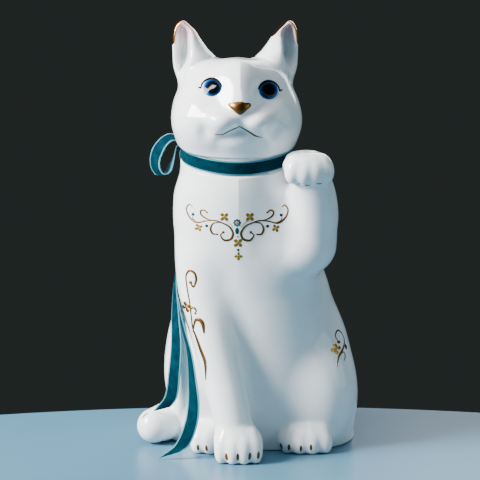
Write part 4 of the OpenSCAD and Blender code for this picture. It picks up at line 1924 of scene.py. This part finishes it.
@dataclass
class Ribbon:
    """One strip of velvet ribbon tied round the neck in a bow.

    Attributes:
        surface: The porcelain it lies on.
        width: Its width in millimetres.
        thick: Its thickness, ground and pile together.
        neck_r: The radius of the neck.
        tilt: The neck's slope in degrees.
        neck: The middle of the neck.
        knot_angle: Where the knot sits round the neck, in degrees.
        knot_gap: The knot's clearance from the collar.
        collar_gap: The collar's clearance from the neck.
        knot_width: The ribbon's width where the knot gathers it.
        knot_half: The knot's half-sizes, outwards and up.
        selvedge: How thick the selvedge is, as a share of the pile's height.
    """

    surface: Surface
    width: float = 10.0
    thick: float = 0.9
    neck_r: float = 38.0
    tilt: float = 15.0
    neck: Point = (-16.0, -15.0, 212.0)
    knot_angle: float = 148.0
    knot_gap: float = 0.15
    collar_gap: float = 0.35
    knot_width: float = 8.4
    knot_half: tuple[float, float] = (3.0, 6.2)
    selvedge: float = 0.55

    def strip(self, name: str, route: Array, across: Array,
              width: Array | float | None = None, slant: float = 0.0, ring: bool = False) -> bpy.types.Object:
        """A length of ribbon.

        Args:
            name: The object's name.
            route: Its middle line, in millimetres.
            across: The direction of its width at each point.
            width: Its width along it, if not the ribbon's.
            slant: How far its far end is cut on the slant.
            ring: Whether its ends meet.

        Returns:
            The ribbon's object.
        """
        n = len(route)
        across = across / np.linalg.norm(across, axis=1, keepdims=True)
        if ring:
            way = np.roll(route, -1, 0) - np.roll(route, 1, 0)
        else:
            way = np.gradient(route, axis=0)
        way /= np.linalg.norm(way, axis=1, keepdims=True)
        out = np.cross(across, way)
        out /= np.linalg.norm(out, axis=1, keepdims=True)
        half = np.broadcast_to(self.width if width is None else width, (n,))[:, None] / 2
        side = (-1.0, -0.93, -0.80, -0.4, 0.0, 0.4, 0.80, 0.93, 1.0)
        swell = (self.selvedge, self.selvedge, 1.0, 1.0, 1.0, 1.0, 1.0, self.selvedge, self.selvedge)
        fade = np.linspace(0, 1, n)[:, None] ** 12
        cols = []
        for s, k in zip(side, swell):
            cols.append(route + across * half * s + out * self.thick / 2 * k + way * fade * slant * s)
        for s in side[::-1]:
            cols.append(route + across * half * s - out * self.thick / 2 * self.selvedge
                        + way * fade * slant * s)
        m = len(cols)
        points = np.stack(cols, 1).reshape(-1, 3)
        faces, index = [], []
        last = n if ring else n - 1
        for i in range(last):
            for j in range(m):
                a, b = i * m, ((i + 1) % n) * m
                faces.append([a + j, a + (j + 1) % m, b + (j + 1) % m, b + j])
                index.append(0 if 1 < j < 6 else 1)
        if not ring:
            faces += [list(range(m))[::-1], [(n - 1) * m + j for j in range(m)]]
            index += [1, 1]
        obj = new_object(name, points, faces, ("velvet", "satin"), index)
        return obj

    def on_neck(self) -> Place:
        """The frame of the neck."""
        return Place(self.neck, 0, self.tilt)

    def at_knot(self, x: float, y: float, z: float) -> Point:
        """Find a place near where the knot sits on the collar.

        Args:
            x: How far outwards.
            y: How far round the neck.
            z: How far up.

        Returns:
            The place in the figure.
        """
        x, y = turned(self.neck_r + self.knot_gap + self.thick + x, y, self.knot_angle)
        return self.on_neck().outward((x, y, z))

    def collar(self) -> None:
        """The turn round the neck, a little slack in its lie."""
        a = np.linspace(0, 2 * math.pi, 145)[:-1]
        r = self.neck_r + self.collar_gap + self.thick / 2
        z = 0.35 * np.sin(2 * a + 0.6) + 0.15 * np.sin(5 * a)
        band = self.on_neck()
        route = np.array([band.outward((r * math.cos(t), r * math.sin(t), h)) for t, h in zip(a, z)])
        up = np.array(band.outward((0, 0, 1))) - np.array(band.at)
        obj = self.strip("ribbon_collar_velvet", route, np.tile(-up, (len(a), 1)),
                         ring=True)
        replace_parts(obj, "ribbon_collar")

    def knot(self) -> None:
        """The knot: a turn of ribbon gathered tight over the crossing."""
        a = np.linspace(0, 2 * math.pi, 41)[:-1]
        deep, tall = self.knot_half
        route = np.array([self.at_knot(2.7 + deep * math.cos(t), 0.4 * math.sin(2 * t), tall * math.sin(t))
                          for t in a])
        middle = np.array(self.at_knot(0, 0, 0))
        side = np.array(self.at_knot(0, 1, 0)) - middle
        up = np.array(self.at_knot(0, 0, 1)) - middle
        across = np.array([side + 0.12 * math.sin(t) * up for t in a])
        obj = self.strip("ribbon_knot_velvet", route, across,
                         width=self.knot_width, ring=True)
        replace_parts(obj, "ribbon_knot")

    def loop(self, node: str, places: Sequence[Point], twist: Sequence[Point]) -> None:
        """A bow's loop: out of the knot, round and back into it.

        Args:
            node: The frame's node that it stands for.
            places: The places its middle line runs through.
            twist: The direction of its width, evenly spaced along it.
        """
        route = spline(places, 1.0)
        across = spline([tuple(t) for t in twist], 1.0)
        u = np.linspace(0, 1, len(route))
        src = np.linspace(0, 1, len(across))
        turn = np.stack([np.interp(u, src, across[:, i]) for i in range(3)], 1)
        pinch = smooth_at(((0, 5.5), (0.12, 8.5), (0.25, 10), (0.75, 10), (0.88, 8.5), (1, 5.5)), u)
        obj = self.strip(f"{node}_velvet", route, turn, width=pinch)
        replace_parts(obj, node)

    def tail(self, node: str, stations: Sequence[tuple[Point, Point]], rests_on: Sequence[str],
             slant: float) -> None:
        """A hanging end, cut on the slant.

        Args:
            node: The frame's node that it stands for.
            stations: Places and directions across the width, from the knot down.
            rests_on: What it lies on or hangs from; not used.
            slant: How far the cut slopes.
        """
        rows = spline([(*p, *(np.array(d, float) / np.linalg.norm(d) * 12)) for p, d in stations], 2.0)
        obj = self.strip(f"{node}_velvet", rows[:, :3], rows[:, 3:], slant=slant)
        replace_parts(obj, node)

    def build(self) -> None:
        """Tie the ribbon."""
        self.collar()
        self.knot()
        k = self.at_knot
        self.loop("ribbon_loop_side", (
            k(3, 2, 1), (-57.5, 3.5, 219), (-63.5, 2, 219.5), (-69.5, 0.5, 214.5), (-73.5, 0, 206),
            (-73.5, 0, 198.5), (-70, 0, 193.6), (-65.5, 1, 195), (-62, 2, 203), (-58.5, 3.5, 212),
            k(3, 1, -1.5)),
            ((0, 0.8, 0.6), (-0.3, 0.7, 0.6), (-0.7, 0.6, 0.4), (-0.85, 0.55, 0), (-0.5, 0.8, -0.3),
             (0, 0.8, -0.6), (0.2, 0.8, -0.5)))
        self.loop("ribbon_loop_rear", (
            k(3, -2, 1), (-55, 15, 220), (-53.5, 24, 221.5), (-51, 32, 216), (-49, 36.5, 208),
            (-48.5, 35.5, 200.5), (-49.5, 30, 197), (-51.5, 23, 201.5), (-53.5, 15, 210), k(3, -1, -1.5)),
            ((0.5, -0.3, -0.8), (0.8, -0.3, -0.5), (0.95, -0.2, -0.1), (0.98, -0.1, 0.1), (0.95, -0.2, 0.3),
             (0.7, -0.4, 0.5)))
        self.tail("ribbon_tail_rear", (
            (k(3, 1, -3), (0.6, 1, 0)), ((-53.6, 9, 202), (0.6, 1, 0)),
            ((-54, 13, 190), (0.4, 1, 0)), ((-55, 15, 170), (0.3, 1, 0)),
            ((-56.4, 13, 145), (0.1, 1, 0)), ((-60, 3, 118), (-0.2, 1, 0)),
            ((-59.6, -9, 95.4), (-0.7, 1, 0)), ((-58.8, -16, 75), (-1, 0.8, 0)),
            ((-60.2, -22, 55), (-1, 0.6, 0)), ((-62.6, -19, 38.5), (-1, 0.5, 0)),
            ((-69.4, -11, 27.5), (-1, 0.3, 0))),
            ["ribbon_knot_velvet", "tail_porcelain"], 3.5)
        self.tail("ribbon_tail_front", (
            (k(3, 0, -3), (0.6, 1, 0)), ((-49.5, 19, 203), (0.6, 1, 0)),
            ((-50.4, 25, 190), (0.4, 1, 0)), ((-52.4, 27, 170), (0.3, 1, 0)),
            ((-54.6, 25, 145), (0.1, 1, 0)), ((-59, 13, 118), (0, 1, 0)),
            ((-57, -10, 102), (-0.1, 1, 0)), ((-53.6, -23, 88), (-0.3, 1, 0)),
            ((-49, -32, 72), (-0.45, 1, 0)), ((-46.8, -38, 54), (-0.8, 1, 0)),
            ((-46, -41, 38), (-1, 0.7, 0)), ((-48, -43, 24), (-1, 0.4, 0)),
            ((-54, -44.5, 10), (-1, 0.2, 0)), ((-62.5, -46.5, 3.5), (-1, 0.2, -0.1))),
            ["ribbon_knot_velvet"], 3.5)


# ---- Studio -------------------------------------------------------------------------


@dataclass(frozen=True)
class Lamp:
    """A soft square light that faces the figure.

    Attributes:
        name: Its name.
        place: Where it stands, in metres.
        size: Its side, in metres.
        power: Its power in watts.
        tint: Its colour, as sRGB hex.
    """

    name: str
    place: Point
    size: float
    power: float
    tint: str

    def build(self) -> None:
        """Hang the light."""
        light = bpy.data.lights.new(self.name, "AREA")
        light.size = self.size
        light.energy = self.power
        light.color = linear(self.tint)[:3]
        obj = bpy.data.objects.new(self.name, light)
        obj.location = self.place
        figure_middle = Vector((0, 0, 0.15))
        obj.rotation_euler = (figure_middle - Vector(self.place)).to_track_quat("-Z", "Y").to_euler()
        bpy.context.collection.objects.link(obj)


@dataclass(frozen=True)
class Studio:
    """A pale floor, soft lights and the camera.

    Attributes:
        table: The middle of the table top, in metres.
        table_r: Its radius, in metres.
        table_t: Its thickness, in metres.
        lamps: The lights.
        room: The colour of the room round them, as sRGB hex.
        room_light: How bright the room is.
        lens: The camera's focal length, in millimetres.
        sensor: The width of its film, in millimetres.
        target: What it is aimed at, in metres.
        rise: How far it looks down, in degrees.
        away: How far away it is, in metres.
    """

    table: Point = (0, -0.64, -0.0101)
    table_r: float = 0.75
    table_t: float = 0.02
    lamps: tuple[Lamp, ...] = (
        Lamp("key", (-1.32, -0.5, 0.9), 0.62, 122, "#FFFCF8"),
        Lamp("top", (-0.2, -0.4, 1.5), 0.8, 8, "#F4FAFF"),
        Lamp("fill", (1.35, -0.45, 0.5), 1.0, 8, "#C4E0EA"),
        Lamp("back", (0.5, 1.1, 0.9), 0.8, 12, "#F2F8FF"))
    room: str = "#2E3433"
    room_light: float = 0.7
    lens: float = 108.75
    sensor: float = 36
    target: Point = (-0.014, -0.013, 0.1487)
    rise: float = 7.0
    away: float = 1.015

    def floor(self) -> None:
        """A round table top of pale lacquer, wider than the view."""
        bpy.ops.mesh.primitive_cylinder_add(vertices=256, radius=self.table_r, depth=self.table_t,
                                            location=self.table)
        obj = bpy.context.object
        obj.name = "table_top"
        obj.data.materials.append(Finish("pale_lacquered_wood", "#4E7A92", 0.38).build())

    def camera(self) -> None:
        """A long lens a metre away, a little above the figure."""
        data = bpy.data.cameras.new("camera")
        data.lens = self.lens
        data.sensor_width = self.sensor
        obj = bpy.data.objects.new("camera", data)
        target = Vector(self.target)
        tilt = math.radians(self.rise)
        obj.location = target + Vector((0, -math.cos(tilt), math.sin(tilt))) * self.away
        obj.rotation_euler = (target - obj.location).to_track_quat("-Z", "Y").to_euler()
        bpy.context.collection.objects.link(obj)
        bpy.context.scene.camera = obj

    def build(self) -> None:
        """Set up the studio."""
        self.floor()
        world = bpy.data.worlds.new("room")
        world.use_nodes = True
        plug(world.node_tree.nodes["Background"], {"Color": linear(self.room), "Strength": self.room_light})
        bpy.context.scene.world = world
        for lamp in self.lamps:
            lamp.build()
        self.camera()


def main() -> None:
    """Build the figurine."""
    logging.basicConfig(level=logging.INFO, format="%(message)s")
    for name, finish in FINISHES.items():
        MATERIALS[name] = finish.build()
    Studio().build()
    surface = Porcelain().mesh()
    FacePainting(surface).build()
    ChestOrnament(surface).build()
    FlankOrnaments(surface).build()
    Claws(surface).build()
    Ribbon(surface).build()
    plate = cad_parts["closing_plate"]
    plate.data.materials.clear()
    plate.data.materials.append(MATERIALS["biscuit"])
    LOG.info("closing_plate: as the frame has it")
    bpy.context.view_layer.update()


if __name__ == "__main__":
    main()
